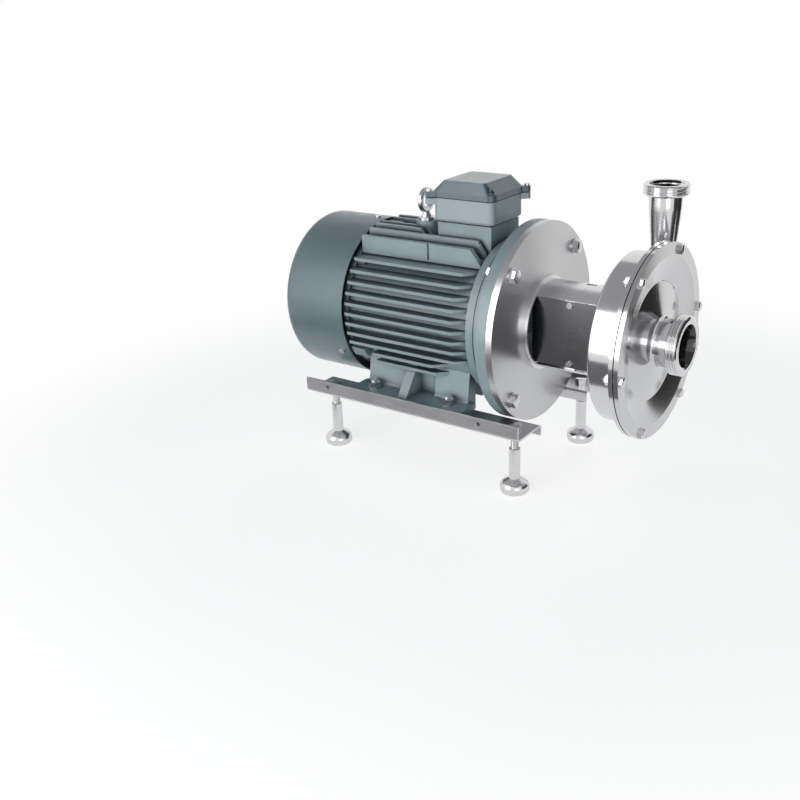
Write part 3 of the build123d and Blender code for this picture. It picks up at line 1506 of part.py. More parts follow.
def leveling_foot(x, side):
    """Turned foot: sleeve that screws on the stud, and a domed pad."""
    pad_top_z = floor_z + foot_pad_t
    dome_top_z = pad_top_z + foot_dome_h
    foot = turned_upright(
        (0, floor_z), (foot_pad_r, floor_z, foot_pad_edge), (foot_pad_r, pad_top_z, foot_dome_rounding),
        (foot_sleeve_r, dome_top_z), (foot_sleeve_r, foot_top_z), (0, foot_top_z),
    )
    foot -= z_rod(foot_top_z - stud_engaged - foot_bore_spare, foot_top_z + 1, stud_r + stud_room, 0, 0)
    return Pos(x, side * rail_y, 0) * foot


parts = {
    "front_cover": front_cover(),
    "suction_ferrule": suction_ferrule(),
    "cover_bolts": cover_bolts(),
    "cover_nuts": cover_nuts(),
    "casing_gasket": casing_gasket(),
    "pump_casing": pump_casing(),
    "discharge_ferrule": discharge_ferrule(),
    "impeller": impeller(),
    "impeller_nut": impeller_nut(),
    "seal_carrier": seal_carrier(),
    "seal_carrier_screws": seal_carrier_screws(),
    "stationary_seal_ring": stationary_seal_ring(),
    "rotating_seal_ring": rotating_seal_ring(),
    "seal_spring": seal_spring(),
    "stub_shaft": stub_shaft(),
    "clamping_screws": clamping_screws(),
    "shaft_keys": shaft_keys(),
    "slinger_ring": slinger_ring(),
    "motor_shaft": motor_shaft(),
    "bearing_outer_rings": bearing_outer_rings(),
    "bearing_inner_rings": bearing_inner_rings(),
    "bearing_balls": bearing_balls(),
    "rotor_core": rotor_core(),
    "rotor_cage": rotor_cage(),
    "stator_core": stator_core(),
    "stator_winding": stator_winding(),
    "drive_end_shield": drive_end_shield(),
    "rear_end_shield": rear_end_shield(),
    "shield_screws": shield_screws(),
    "motor_frame": motor_frame(),
    "terminal_box_base": terminal_box_base(),
    "terminal_box_lid": terminal_box_lid(),
    "box_gaskets": box_gaskets(),
    "box_lid_screws": box_lid_screws(),
    "cable_gland": cable_gland(),
    "gland_nut": gland_nut(),
    "terminal_board": terminal_board(),
    "terminal_studs": terminal_studs(),
    "lifting_eye": lifting_eye(),
    "fan_cover": fan_cover(),
    "fan_cover_screws": fan_cover_screws(),
    "cooling_fan": cooling_fan(),
    "fan_circlip": fan_circlip(),
    "adapter_disc": adapter_disc(),
    "lantern_tube": lantern_tube(),
    "window_guard": window_guard(),
    "guard_screws": guard_screws(),
    "flange_bolts": flange_bolts(),
    "flange_washers": flange_washers(),
    "flange_nuts": flange_nuts(),
    "near_rail": rail(near),
    "far_rail": rail(far),
    "motor_foot_bolts": motor_foot_bolts(),
    "motor_foot_washers": motor_foot_washers(),
    "motor_foot_nuts": motor_foot_nuts(),
    "leveling_studs": leveling_studs(),
}
for end_name, level_x in zip(("front", "rear"), level_xs):
    for side_name, side in (("near", near), ("far", far)):
        parts[f"{end_name}_{side_name}_leveling_foot"] = leveling_foot(level_x, side)

os.makedirs("parts", exist_ok=True)
for name, shape in parts.items():
    export_step(shape, f"parts/{name}.step")
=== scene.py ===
import json
from math import ceil, cos, pi, radians, sin, tan

import bmesh
import bpy
from mathutils import Matrix, Vector


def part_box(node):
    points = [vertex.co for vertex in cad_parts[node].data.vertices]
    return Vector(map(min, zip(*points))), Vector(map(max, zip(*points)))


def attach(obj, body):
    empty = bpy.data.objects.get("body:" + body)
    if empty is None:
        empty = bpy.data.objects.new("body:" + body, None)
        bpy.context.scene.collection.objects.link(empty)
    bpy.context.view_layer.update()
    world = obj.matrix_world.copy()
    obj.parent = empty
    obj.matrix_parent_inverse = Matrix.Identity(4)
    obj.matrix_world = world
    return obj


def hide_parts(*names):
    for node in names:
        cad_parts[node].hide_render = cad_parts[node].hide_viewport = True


# Looks of a close-coupled hygienic pump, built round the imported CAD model. Everything is in metres, in the
# CAD's own frame: the origin is the centre of the suction port's face, +X leaves that port and +Z is up.

MM = 0.001

# Camera, as measured from the photograph
CAMERA_PLACE = Vector((0.4823, -1.2908, 0.4889))
CAMERA_LOOKS = Vector((-0.5587, 0.7350, -0.3840))
CAMERA_UP = Vector((-0.1952, 0.3331, 0.9220))
CAMERA_LENS = 46.13

# Fasteners: a head's height as a share of its shank's diameter, the rest as shares of the shank's radius
HEAD_SHARE = 0.65
PLAIN_SHANK_SHARE = 0.98
THREAD_PITCH_SHARE = 0.3
THREAD_DEPTH_SHARE = 0.12
HEX_POINTS = 48
SHANK_POINTS = 32

# Round threads and edges of the two ports' rings
ROUND_PITCH = 4.23 * MM
ROUND_DEPTH = 1.9 * MM
RING_EDGE = 1.5 * MM
BORE_EDGE = 0.5 * MM
RING_POINTS = 96

# Floor: grey to the light, lifted to near white for the eye, and plain white beyond the fade
FLOOR_MIDDLE_X = -0.3
FLOOR_REACH = 6.0
FLOOR_FADE = (0.55, 1.1)
FLOOR_GREY = 0.50
FLOOR_LIFT = 0.74
FLOOR_GAP = 0.3 * MM

# Enamel of the castings, the fan cover and the terminal box, whose lid has a darker colour as painted shade
# for its slopes, under a glossier coat
BODY_PAINT = (0.322, 0.412, 0.432)
FAN_COVER_PAINT = (0.143, 0.212, 0.230)
BOX_PAINT = (0.400, 0.480, 0.504)
SHADED_LID_PAINT = (0.060, 0.122, 0.148)

# Dark places: the hue of the painted shade in crevices, the share of colour that an open joint keeps, and the
# share that a bore keeps as painted shade
PAINTED_SHADE_HUE = (0.85, 1.05, 1.2)
OPEN_JOINT = 0.12
BORE_PAINTED_SHADE = 0.12

# Turned steel: scale of the noise across its fine and its broad lines, and how little it changes round them
FINE_LINES = 2600
BROAD_LINES = 160
ROUND_LINES = 0.6

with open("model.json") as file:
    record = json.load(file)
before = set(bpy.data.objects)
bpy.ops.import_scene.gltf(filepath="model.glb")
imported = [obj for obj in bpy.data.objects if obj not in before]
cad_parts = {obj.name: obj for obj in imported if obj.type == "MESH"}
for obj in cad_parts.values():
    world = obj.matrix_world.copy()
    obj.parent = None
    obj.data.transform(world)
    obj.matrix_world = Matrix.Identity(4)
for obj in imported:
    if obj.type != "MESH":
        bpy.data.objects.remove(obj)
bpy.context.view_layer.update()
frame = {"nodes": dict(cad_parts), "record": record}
cad = frame["nodes"]
slot_of = {entry["node"]: entry["material_slot"] for entry in frame["record"]["subparts"]}
floor_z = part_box("front_near_leveling_foot")[0].z


# Shader building blocks

class Nodes:
    """A node tree, with short calls for the nodes that the looks and the stage share."""

    def __init__(self, owner):
        owner.use_nodes = True
        self.tree = owner.node_tree

    def add(self, kind, inputs=None, **settings):
        """New node with its settings, and what goes into its inputs."""
        node = self.tree.nodes.new(kind)
        for key, value in settings.items():
            setattr(node, key, value)
        for socket, value in (inputs or {}).items():
            self.feed(node.inputs[socket], value)
        return node

    def feed(self, socket, value):
        """Puts a number, a vector or another node's output into a socket."""
        if isinstance(value, bpy.types.NodeSocket):
            self.tree.links.new(value, socket)
        else:
            socket.default_value = value

    def math(self, operation, a, b=0.0):
        return self.add("ShaderNodeMath", {0: a, 1: b}, operation=operation).outputs[0]

    def vector_math(self, operation, a, b=(0, 0, 0)):
        node = self.add("ShaderNodeVectorMath", {0: a, 1: b}, operation=operation)
        return node.outputs["Value" if operation == "LENGTH" else "Vector"]

    def place(self):
        """Where a point lies in its object's own axes, which are the CAD's for a piece of the pump."""
        return self.add("ShaderNodeTexCoord").outputs["Object"]

    def split(self, vector):
        return self.add("ShaderNodeSeparateXYZ", {0: vector}).outputs

    def joined(self, x, y, z):
        return self.add("ShaderNodeCombineXYZ", {0: x, 1: y, 2: z}).outputs[0]

    def noise(self, vector, scale, detail=3.0, rough=0.5):
        inputs = {"Vector": vector, "Scale": scale, "Detail": detail, "Roughness": rough}
        return self.add("ShaderNodeTexNoise", inputs).outputs["Fac"]

    def spread(self, value, low, high, from_low=0.3, from_high=0.7, **settings):
        """A value stretched to the span from low to high, from the usual span of noise or another one."""
        inputs = {"Value": value, "From Min": from_low, "From Max": from_high, "To Min": low, "To Max": high}
        return self.add("ShaderNodeMapRange", inputs, **settings).outputs[0]

    def mix(self, factor, a, b):
        node = self.add("ShaderNodeMix", {"Factor": factor}, data_type="RGBA")
        for name, color in (("A", a), ("B", b)):
            socket = next(s for s in node.inputs if s.name == name and s.type == "RGBA")
            self.feed(socket, color if isinstance(color, bpy.types.NodeSocket) else (*color, 1))
        return next(s for s in node.outputs if s.type == "RGBA")


class Shader(Nodes):
    """A material on Blender's Principled surface."""

    def __init__(self, name, color, metallic=0.0, roughness=0.5, **sockets):
        self.material = bpy.data.materials.new(name)
        super().__init__(self.material)
        self.surface = next(n for n in self.tree.nodes if n.type == "BSDF_PRINCIPLED")
        self.surface.inputs["Base Color"].default_value = (*color, 1)
        self.surface.inputs["Metallic"].default_value = metallic
        self.surface.inputs["Roughness"].default_value = roughness
        for socket, value in sockets.items():
            self.surface.inputs[socket.replace("_", " ")].default_value = value
        self.color = color
        self.point = self.place()

    def shade(self, share):
        """The material's own colour, darker or lighter."""
        return tuple(min(1, channel * share) for channel in self.color)

    def colored(self, color):
        self.feed(self.surface.inputs["Base Color"], color)
        return color

    def tinted(self, factor, darker, lighter):
        """Base colour that wanders between two shades of the material's own."""
        return self.colored(self.mix(self.spread(factor, 0, 1), self.shade(darker), self.shade(lighter)))

    def with_painted_shade(self, color, crevice, reach):
        """Painted shade: base colour that darkens where other surfaces stand within reach, in corners and
        grooves.
        """
        corner = self.add("ShaderNodeAmbientOcclusion", {"Distance": reach}, samples=6)
        openness = self.spread(corner.outputs["AO"], 0, 1, 0.25, 0.85)
        shadow = tuple(c * crevice * hue for c, hue in zip(self.color, PAINTED_SHADE_HUE))
        return self.colored(self.mix(openness, shadow, color))

    def rough(self, factor, low, high):
        self.feed(self.surface.inputs["Roughness"], self.spread(factor, low, high))

    def bumped(self, height, distance, soft_edge=0.0):
        """Relief of a height map, over edges that are softened by a radius."""
        bump = self.add("ShaderNodeBump", {"Strength": 1.0, "Distance": distance, "Height": height})
        if soft_edge:
            bevel = self.add("ShaderNodeBevel", {"Radius": soft_edge}, samples=4)
            self.feed(bump.inputs["Normal"], bevel.outputs["Normal"])
        self.feed(self.surface.inputs["Normal"], bump.outputs["Normal"])


def painted(name, color, roughness, coat=0.4, peel=0.10 * MM):
    """Machine enamel: faint mottle, orange peel, satin patches, and painted shade in corners."""
    look = Shader(name, color, roughness=roughness, Specular_IOR_Level=0.5,
                  Coat_Weight=coat, Coat_Roughness=0.24)
    mottled = look.tinted(look.noise(look.point, 22, 4), 0.94, 1.05)
    # Painted shade: the colour darkens within 8 mm of other surfaces, in corners and joints
    look.with_painted_shade(mottled, crevice=0.45, reach=8 * MM)
    look.rough(look.noise(look.point, 60, 3), roughness - 0.05, roughness + 0.08)
    look.bumped(look.noise(look.point, 900, 2), peel, soft_edge=0.8 * MM)
    return look.material


def cast_paint(name, color, joint_x, roughness=0.5):
    """Enamel over sand castings, with a coarser grain, strong painted shade between fins and in grooves, and
    open at the joint of two castings.
    """
    look = Shader(name, color, roughness=roughness, Specular_IOR_Level=0.5,
                  Coat_Weight=0.4, Coat_Roughness=0.28)
    mottled = look.tinted(look.noise(look.point, 30, 5), 0.92, 1.06)
    # Painted shade: the colour darkens strongly within 22 mm of other surfaces, between the fins and in
    # grooves
    with_painted_shade = look.with_painted_shade(mottled, crevice=0.12, reach=22 * MM)
    off_joint = look.math("ABSOLUTE", look.math("SUBTRACT", look.split(look.point)[0], joint_x))
    at_joint = look.spread(off_joint, 1, 0, 0.5 * MM, 1.3 * MM)
    look.colored(look.mix(at_joint, with_painted_shade, look.shade(OPEN_JOINT)))
    look.rough(look.noise(look.point, 80, 3), roughness - 0.06, roughness + 0.08)
    grain = look.math("ADD", look.noise(look.point, 420, 4), look.noise(look.point, 1500, 2))
    look.bumped(grain, 0.16 * MM, soft_edge=1.1 * MM)
    return look.material


def turned_steel(name, color, roughness, line_depth, axis="X", centre=(0, 0), anisotropy=0.5, bore_r=0.0):
    """Steel finished on a lathe: fine lines round an axis, which stretch its reflections, and painted shade
    inside the bore.
    """
    look = Shader(name, color, metallic=1.0, roughness=roughness, Anisotropic=anisotropy)
    x, y, z = look.split(look.point)
    along, first, second = (x, y, z) if axis == "X" else (z, x, y)
    across = look.math("SUBTRACT", first, centre[0])
    up = look.math("SUBTRACT", second, centre[1])
    outwards = look.joined(0.0, across, up) if axis == "X" else look.joined(across, up, 0.0)
    radius = look.vector_math("LENGTH", outwards)
    way_round = look.joined(look.math("DIVIDE", across, radius), look.math("DIVIDE", up, radius), 0.0)
    ring = look.joined(0.0, 0.0, look.math("ADD", radius, along))
    slow = look.vector_math("MULTIPLY", way_round, (ROUND_LINES, ROUND_LINES, 0))
    lines_at = look.vector_math("ADD", slow, ring)
    fine = look.noise(look.vector_math("MULTIPLY", lines_at, (1, 1, FINE_LINES)), 1.0, 2)
    broad = look.noise(look.vector_math("MULTIPLY", lines_at, (1, 1, BROAD_LINES)), 1.0, 2)
    # Painted shade: inside the bore's radius the colour drops to a dark share of its own
    in_bore = look.spread(radius, 1, 0, bore_r, bore_r + 0.5 * MM)
    look.colored(look.mix(in_bore, look.tinted(broad, 0.985, 1.01), look.shade(BORE_PAINTED_SHADE)))
    look.rough(fine, roughness * 0.92, roughness * 1.08)
    look.bumped(fine, line_depth, soft_edge=0.5 * MM)
    look.feed(look.surface.inputs["Tangent"], look.vector_math("NORMALIZE", outwards))
    return look.material


def brushed_steel(name, color, roughness, stretch):
    """Steel sheet with a straight grain: stretch is small along the grain and large across it."""
    look = Shader(name, color, metallic=1.0, roughness=roughness)
    lines = look.noise(look.vector_math("MULTIPLY", look.point, stretch), 1.0, 4, 0.65)
    look.tinted(look.noise(look.point, 18, 3), 0.93, 1.04)
    look.rough(lines, roughness * 0.8, roughness * 1.25)
    look.bumped(lines, 0.02 * MM, soft_edge=0.5 * MM)
    return look.material


def plated_steel(name, color, roughness):
    """Bright metal with faint handling marks."""
    look = Shader(name, color, metallic=1.0, roughness=roughness)
    marks = look.noise(look.point, 260, 4, 0.6)
    look.tinted(marks, 0.95, 1.03)
    look.rough(look.noise(look.point, 500, 3), roughness * 0.8, roughness * 1.25)
    look.bumped(marks, 0.004 * MM, soft_edge=0.3 * MM)
    return look.material


def moulded(name, color, roughness):
    """Moulded plastic or rubber with a fine matt grain."""
    look = Shader(name, color, roughness=roughness)
    look.tinted(look.noise(look.point, 90, 3), 0.85, 1.2)
    look.rough(look.noise(look.point, 300, 2), roughness - 0.07, roughness + 0.07)
    look.bumped(look.noise(look.point, 1800, 2), 0.05 * MM)
    return look.material


def stacked(name, color, roughness, pitch=0.65 * MM):
    """Stack of thin laminations across the shaft."""
    look = Shader(name, color, metallic=0.6, roughness=roughness)
    wave = look.math("SINE", look.math("MULTIPLY", look.split(look.point)[0], 2 * pi / pitch))
    look.tinted(look.noise(look.point, 60, 3), 0.8, 1.15)
    look.rough(look.noise(look.point, 200, 2), roughness - 0.1, roughness + 0.1)
    look.bumped(wave, 0.08 * MM)
    return look.material


def wound(name, color, roughness):
    """Lacquered wire laid side by side."""
    look = Shader(name, color, metallic=0.8, roughness=roughness, Coat_Weight=0.6)
    strands = look.noise(look.vector_math("MULTIPLY", look.point, (900, 140, 140)), 1.0, 3)
    look.tinted(strands, 0.6, 1.2)
    look.rough(look.noise(look.point, 150, 2), roughness - 0.08, roughness + 0.1)
    look.bumped(strands, 0.4 * MM)
    return look.material


# Mesh building blocks

def new_object(name, maker, smooth_angle=35):
    """Object made from a bmesh, with smooth faces that break at edges sharper than an angle in degrees."""
    mesh = bpy.data.meshes.new(name)
    maker.normal_update()
    maker.to_mesh(mesh)
    maker.free()
    for face in mesh.polygons:
        face.use_smooth = True
    for edge in sharp_edges(mesh, radians(smooth_angle)):
        edge.use_edge_sharp = True
    piece = bpy.data.objects.new(name, mesh)
    bpy.context.scene.collection.objects.link(piece)
    return piece


def sharp_edges(mesh, limit):
    """Edges whose two faces meet at more than a limit, and those with one face."""
    normals_at = {}
    for face in mesh.polygons:
        for key in face.edge_keys:
            normals_at.setdefault(key, []).append(face.normal.copy())
    for edge in mesh.edges:
        normals = normals_at.get(edge.key, ())
        if len(normals) != 2 or normals[0].angle(normals[1], 0) > limit:
            yield edge


def add_rings(maker, rings, closed=False):
    """Skin between rings of points, with flat ends, or closed from the last ring back to the first."""
    rows = [[maker.verts.new(point) for point in ring] for ring in rings]
    pairs = list(zip(rows, rows[1:]))
    if closed:
        pairs.append((rows[-1], rows[0]))
    for low, high in pairs:
        for i in range(len(low)):
            j = (i + 1) % len(low)
            maker.faces.new((low[i], low[j], high[j], high[i]))
    if not closed:
        maker.faces.new(list(reversed(rows[0])))
        maker.faces.new(rows[-1])


def axis_matrix(origin, direction):
    """Matrix whose own +Z runs in a direction from an origin."""
    z = Vector(direction).normalized()
    helper = Vector((0, 0, 1)) if abs(z.z) < 0.9 else Vector((1, 0, 0))
    x = helper.cross(z).normalized()
    y = z.cross(x)
    turn = Matrix((x, y, z)).transposed().to_4x4()
    return Matrix.Translation(origin) @ turn


def circle(radius, height, count, matrix):
    """Ring of points about the matrix's +Z. The radius and the height may each be a function of the angle."""
    points = []
    for i in range(count):
        angle = 2 * pi * i / count
        r = radius(angle) if callable(radius) else radius
        h = height(angle) if callable(height) else height
        points.append(matrix @ Vector((r * cos(angle), r * sin(angle), h)))
    return points


def add_hexagon(maker, matrix, across_flats, z_from, z_to, chamfer_both=False):
    """Hexagonal body with turned corners on its top, or on both ends, as on a real bolt head or nut."""
    flat_r = across_flats / 2 * 0.96
    chamfer_slope = tan(radians(30))

    def side(angle):
        return across_flats / 2 / cos((angle % (pi / 3)) - pi / 6)

    def cut(angle):
        return max(0.0, side(angle) - flat_r) * chamfer_slope

    def top(angle):
        return z_to - cut(angle)

    def bottom(angle):
        return z_from + cut(angle) if chamfer_both else z_from

    end_r = flat_r if chamfer_both else flat_r * 0.98
    sections = [(end_r, z_from), (side, bottom), (side, top), (flat_r, z_to)]
    add_rings(maker, [circle(r, z, HEX_POINTS, matrix) for r, z in sections])


def add_thread(maker, matrix, radius, length):
    """Threaded end of a rod, up to the matrix's origin: its radius follows a helix and fades at the tip."""
    pitch = THREAD_PITCH_SHARE * radius
    depth = THREAD_DEPTH_SHARE * radius
    steps = ceil(length / pitch * 8)

    def ridge(height):
        fade = min(1.0, -height / pitch * 1.5)

        def at(angle):
            groove = 0.5 - 0.5 * cos(2 * pi * height / pitch - angle)
            return radius - depth * groove * fade - (1 - fade) * depth * 0.8
        return at

    heights = [-length + length * i / steps for i in range(steps + 1)]
    add_rings(maker, [circle(ridge(h), h, SHANK_POINTS, matrix) for h in heights])


def solids(node):
    """Lowest and highest corners of each separate solid in a CAD node, ordered by place."""
    mesh = cad[node].data
    key_of = [tuple(round(c, 6) for c in vertex.co) for vertex in mesh.vertices]
    parent = {}

    def root(key):
        while parent.setdefault(key, key) != key:
            parent[key] = parent[parent[key]]
            key = parent[key]
        return key

    for face in mesh.polygons:
        first = root(key_of[face.vertices[0]])
        for i in face.vertices[1:]:
            parent[root(key_of[i])] = first
    groups = {}
    for key in set(key_of):
        groups.setdefault(root(key), []).append(key)
    boxes = []
    for keys in groups.values():
        low = Vector(tuple(min(k[i] for k in keys) for i in range(3)))
        high = Vector(tuple(max(k[i] for k in keys) for i in range(3)))
        boxes.append((low, high))
    return sorted(boxes, key=lambda b: tuple(b[0]))


def body_of(node):
    return next(body for body, members in frame["record"]["behaviour"]["bodies"].items() if node in members)


def stand_in(node, maker, look, smooth_angle=35):
    """Finished piece in place of a CAD node, riding on that node's body."""
    piece = new_object(f"{node}_detail", maker, smooth_angle)
    piece.data.materials.append(look)
    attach(piece, body_of(node))
    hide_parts(node)
    return piece


# Materials

body_paint = cast_paint("motor_body_paint", BODY_PAINT, joint_x=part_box("motor_frame")[1].x)
box_paint = painted("terminal_box_paint", BOX_PAINT, roughness=0.38)
# The lid's darker colour is painted shade for its slopes; its coat is glossier
lid_paint = painted("terminal_box_lid_paint", SHADED_LID_PAINT, roughness=0.34, coat=0.78)
sheet_paint = painted("fan_cover_paint", FAN_COVER_PAINT, roughness=0.36, peel=0.05 * MM)
disc_finish = turned_steel("adapter_disc_steel", (0.55, 0.55, 0.56), 0.30, 0.0012 * MM, anisotropy=0.6)
cover_finish = turned_steel("cover_steel", (0.57, 0.57, 0.58), 0.14, 0.002 * MM,
                            anisotropy=0.4, bore_r=31 * MM)
casing_finish = turned_steel("casing_steel", (0.64, 0.64, 0.65), 0.15, 0.003 * MM)
port_finish = turned_steel("port_steel", (0.66, 0.66, 0.67), 0.12, 0.003 * MM,
                           anisotropy=0.3, bore_r=30.6 * MM)
outlet_low, outlet_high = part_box("discharge_ferrule")
outlet_middle = (outlet_low + outlet_high) / 2
outlet_finish = turned_steel("outlet_steel", (0.66, 0.66, 0.67), 0.12, 0.003 * MM, axis="Z",
                             centre=outlet_middle[:2], anisotropy=0.3, bore_r=20.5 * MM)
lantern_finish = turned_steel("lantern_steel", (0.70, 0.70, 0.71), 0.26, 0.002 * MM)
guard_finish = brushed_steel("guard_steel", (0.23, 0.23, 0.24), 0.22, (60, 900, 900))
rail_finish = brushed_steel("rail_steel", (0.60, 0.60, 0.61), 0.34, (25, 1100, 1100))
zinc_finish = plated_steel("zinc_fasteners", (0.62, 0.63, 0.65), 0.24)
stainless_finish = plated_steel("stainless_fasteners", (0.66, 0.66, 0.67), 0.20)
wet_finish = plated_steel("pumped_side_steel", (0.16, 0.16, 0.17), 0.30)
shaft_finish = turned_steel("shaft_steel_finish", (0.56, 0.56, 0.57), 0.28, 0.01 * MM)
bearing_finish = turned_steel("bearing_steel_finish", (0.60, 0.60, 0.62), 0.16, 0.004 * MM)
seal_finish = turned_steel("seal_ring_finish", (0.10, 0.10, 0.11), 0.35, 0.004 * MM)
core_finish = stacked("core_laminations", (0.20, 0.20, 0.21), 0.5)
cage_finish = plated_steel("cage_aluminium", (0.72, 0.72, 0.74), 0.42)
winding_finish = wound("winding_copper_finish", (0.48, 0.20, 0.09), 0.38)
brass_finish = plated_steel("terminal_brass", (0.72, 0.52, 0.22), 0.30)
gland_finish = plated_steel("gland_nickel", (0.60, 0.59, 0.56), 0.28)
gasket_finish = moulded("grey_gasket", (0.06, 0.06, 0.065), 0.6)
rubber_finish = moulded("black_rubber", (0.022, 0.022, 0.023), 0.62)
plastic_finish = moulded("black_plastic", (0.030, 0.030, 0.032), 0.48)

finish_of_slot = {
    "motor_paint": body_paint, "brushed_stainless": disc_finish, "polished_stainless": casing_finish,
    "rail_steel": rail_finish, "feet_steel": stainless_finish, "zinc": zinc_finish,
    "shaft_steel": shaft_finish, "bearing_steel": bearing_finish, "laminations": core_finish,
    "cage_metal": cage_finish, "winding_copper": winding_finish, "stud_brass": brass_finish,
    "gland_metal": gland_finish, "seal_rubber": rubber_finish, "fan_plastic": plastic_finish,
    "seal_face": seal_finish,
}
finish_of_node = {
    "fan_cover": sheet_paint, "terminal_box_base": box_paint, "terminal_box_lid": lid_paint,
    "front_cover": cover_finish, "suction_ferrule": port_finish, "discharge_ferrule": outlet_finish,
    "lantern_tube": lantern_finish, "window_guard": guard_finish, "impeller": wet_finish,
    "impeller_nut": wet_finish, "casing_gasket": gasket_finish,
}


def finish_cad_nodes():
    """Gives every CAD node its own finished material."""
    for name, item in cad.items():
        item.data.materials.clear()
        item.data.materials.append(finish_of_node.get(name, finish_of_slot[slot_of[name]]))


# Fasteners, made again with turned corners and threaded ends at the places of their CAD solids

def hex_bolts(node, direction, look, across, shank_r, threaded):
    """Bolts of a node: chamfered hex head, plain shank and a threaded end."""
    direction = Vector(direction)
    head_height = 2 * shank_r * HEAD_SHARE
    plain_r = shank_r * PLAIN_SHANK_SHARE
    maker = bmesh.new()
    for low, high in solids(node):
        seat, length = head_seat(low, high, direction, head_height)
        matrix = axis_matrix(seat, direction)
        add_hexagon(maker, matrix, across, 0.0, head_height)
        add_rings(maker, [circle(plain_r, h, SHANK_POINTS, matrix) for h in (threaded - length, 0.0)])
        tip = axis_matrix(seat - direction * length, -direction)
        add_thread(maker, tip, shank_r, threaded)
    return stand_in(node, maker, look)


def head_seat(low, high, direction, head_height):
    """Where a bolt's head sits, and how long its shank is, from its solid's box."""
    axis = max(range(3), key=lambda i: abs(direction[i]))
    seat = (low + high) / 2
    top = high[axis] if direction[axis] > 0 else low[axis]
    seat[axis] = top - direction[axis] * head_height
    return seat, (high[axis] - low[axis]) - head_height


def hex_nuts(node, look, across):
    """Nuts of a node, each with turned corners on both faces."""
    maker = bmesh.new()
    for low, high in solids(node):
        size = high - low
        axis = min(range(3), key=lambda i: size[i])
        direction = [1.0 if i == axis else 0.0 for i in range(3)]
        matrix = axis_matrix((low + high) / 2, direction)
        add_hexagon(maker, matrix, across, -size[axis] / 2, size[axis] / 2, chamfer_both=True)
    return stand_in(node, maker, look)


def add_fasteners():
    """Every bolt, stud and nut in its standard size: M8, M12 and M10."""
    front, down, up = (1, 0, 0), (0, 0, -1), (0, 0, 1)
    hex_bolts("cover_bolts", front, stainless_finish, across=13 * MM, shank_r=4 * MM, threaded=8 * MM)
    hex_bolts("flange_bolts", front, stainless_finish, across=18 * MM, shank_r=6 * MM, threaded=14 * MM)
    hex_bolts("motor_foot_bolts", down, zinc_finish, across=17 * MM, shank_r=5 * MM, threaded=14 * MM)
    hex_bolts("leveling_studs", up, stainless_finish, across=18 * MM, shank_r=6 * MM, threaded=60 * MM)
    hex_nuts("cover_nuts", stainless_finish, across=13 * MM)
    hex_nuts("flange_nuts", stainless_finish, across=18 * MM)
    hex_nuts("motor_foot_nuts", zinc_finish, across=17 * MM)


# Port rings, made again with their round threads

def threaded_ring(node, matrix, radius, z_from, z_to, before, after, look):
    """Port's ring with its round thread, between the plain parts of its section before and after it."""
    steps = ceil((z_to - z_from) / ROUND_PITCH * 12)

    def ridge(height):
        runout = min(1.0, (height - z_from) / ROUND_PITCH * 2, (z_to - height) / ROUND_PITCH * 2)

        def at(angle):
            groove = 0.5 - 0.5 * cos(2 * pi * (height - z_from) / ROUND_PITCH - angle)
            return radius - ROUND_DEPTH * groove * runout
        return at

    heights = [z_from + (z_to - z_from) * i / steps for i in range(steps + 1)]
    sections = [*before, *((ridge(h), h) for h in heights), *after]
    maker = bmesh.new()
    add_rings(maker, [circle(r, h, RING_POINTS, matrix) for r, h in sections], closed=True)
    return stand_in(node, maker, look, smooth_angle=50)


def add_suction_ring():
    """Threaded ring and collar round the suction port, whose face is at the origin."""
    bore_r = 30.15 * MM
    ring_r, ring_back = 42.5 * MM, -16 * MM
    collar_r, collar_back = 34 * MM, -33 * MM
    face_r = ring_r - RING_EDGE
    collar = [(bore_r, collar_back), (collar_r, collar_back), (collar_r, ring_back), (face_r, ring_back)]
    face = [(face_r, 0), (bore_r + BORE_EDGE, 0), (bore_r, -BORE_EDGE)]
    matrix = axis_matrix((0, 0, 0), (1, 0, 0))
    z_from, z_to = ring_back + RING_EDGE, -RING_EDGE
    threaded_ring("suction_ferrule", matrix, ring_r, z_from, z_to, collar, face, port_finish)


def add_discharge_ring():
    """Threaded ring round the upright discharge port, with the recess for its seal."""
    bore_r, ring_r = 20 * MM, 32.5 * MM
    seat_r, seat_z = 24 * MM, 11 * MM
    lead = 2 * RING_EDGE
    top = outlet_high.z - outlet_low.z
    foot = [(bore_r, 0), (ring_r - lead, 0)]
    recess = [(ring_r - RING_EDGE, top), (seat_r, top), (seat_r, seat_z), (bore_r, seat_z)]
    matrix = axis_matrix((outlet_middle.x, outlet_middle.y, outlet_low.z), (0, 0, 1))
    threaded_ring("discharge_ferrule", matrix, ring_r, lead, top - RING_EDGE, foot, recess, outlet_finish)


# Stage

def bare_nodes(owner):
    """Node tree of a material or a world, emptied."""
    nodes = Nodes(owner)
    nodes.tree.nodes.clear()
    return nodes


def seen_by_eye_or_metal(nodes):
    """1 for rays from the camera, from a reflection and through glass, and 0 for the light on the object."""
    path = nodes.add("ShaderNodeLightPath").outputs
    reflected = nodes.math("MAXIMUM", path["Is Camera Ray"], path["Is Glossy Ray"])
    return nodes.math("MAXIMUM", reflected, path["Is Transmission Ray"])


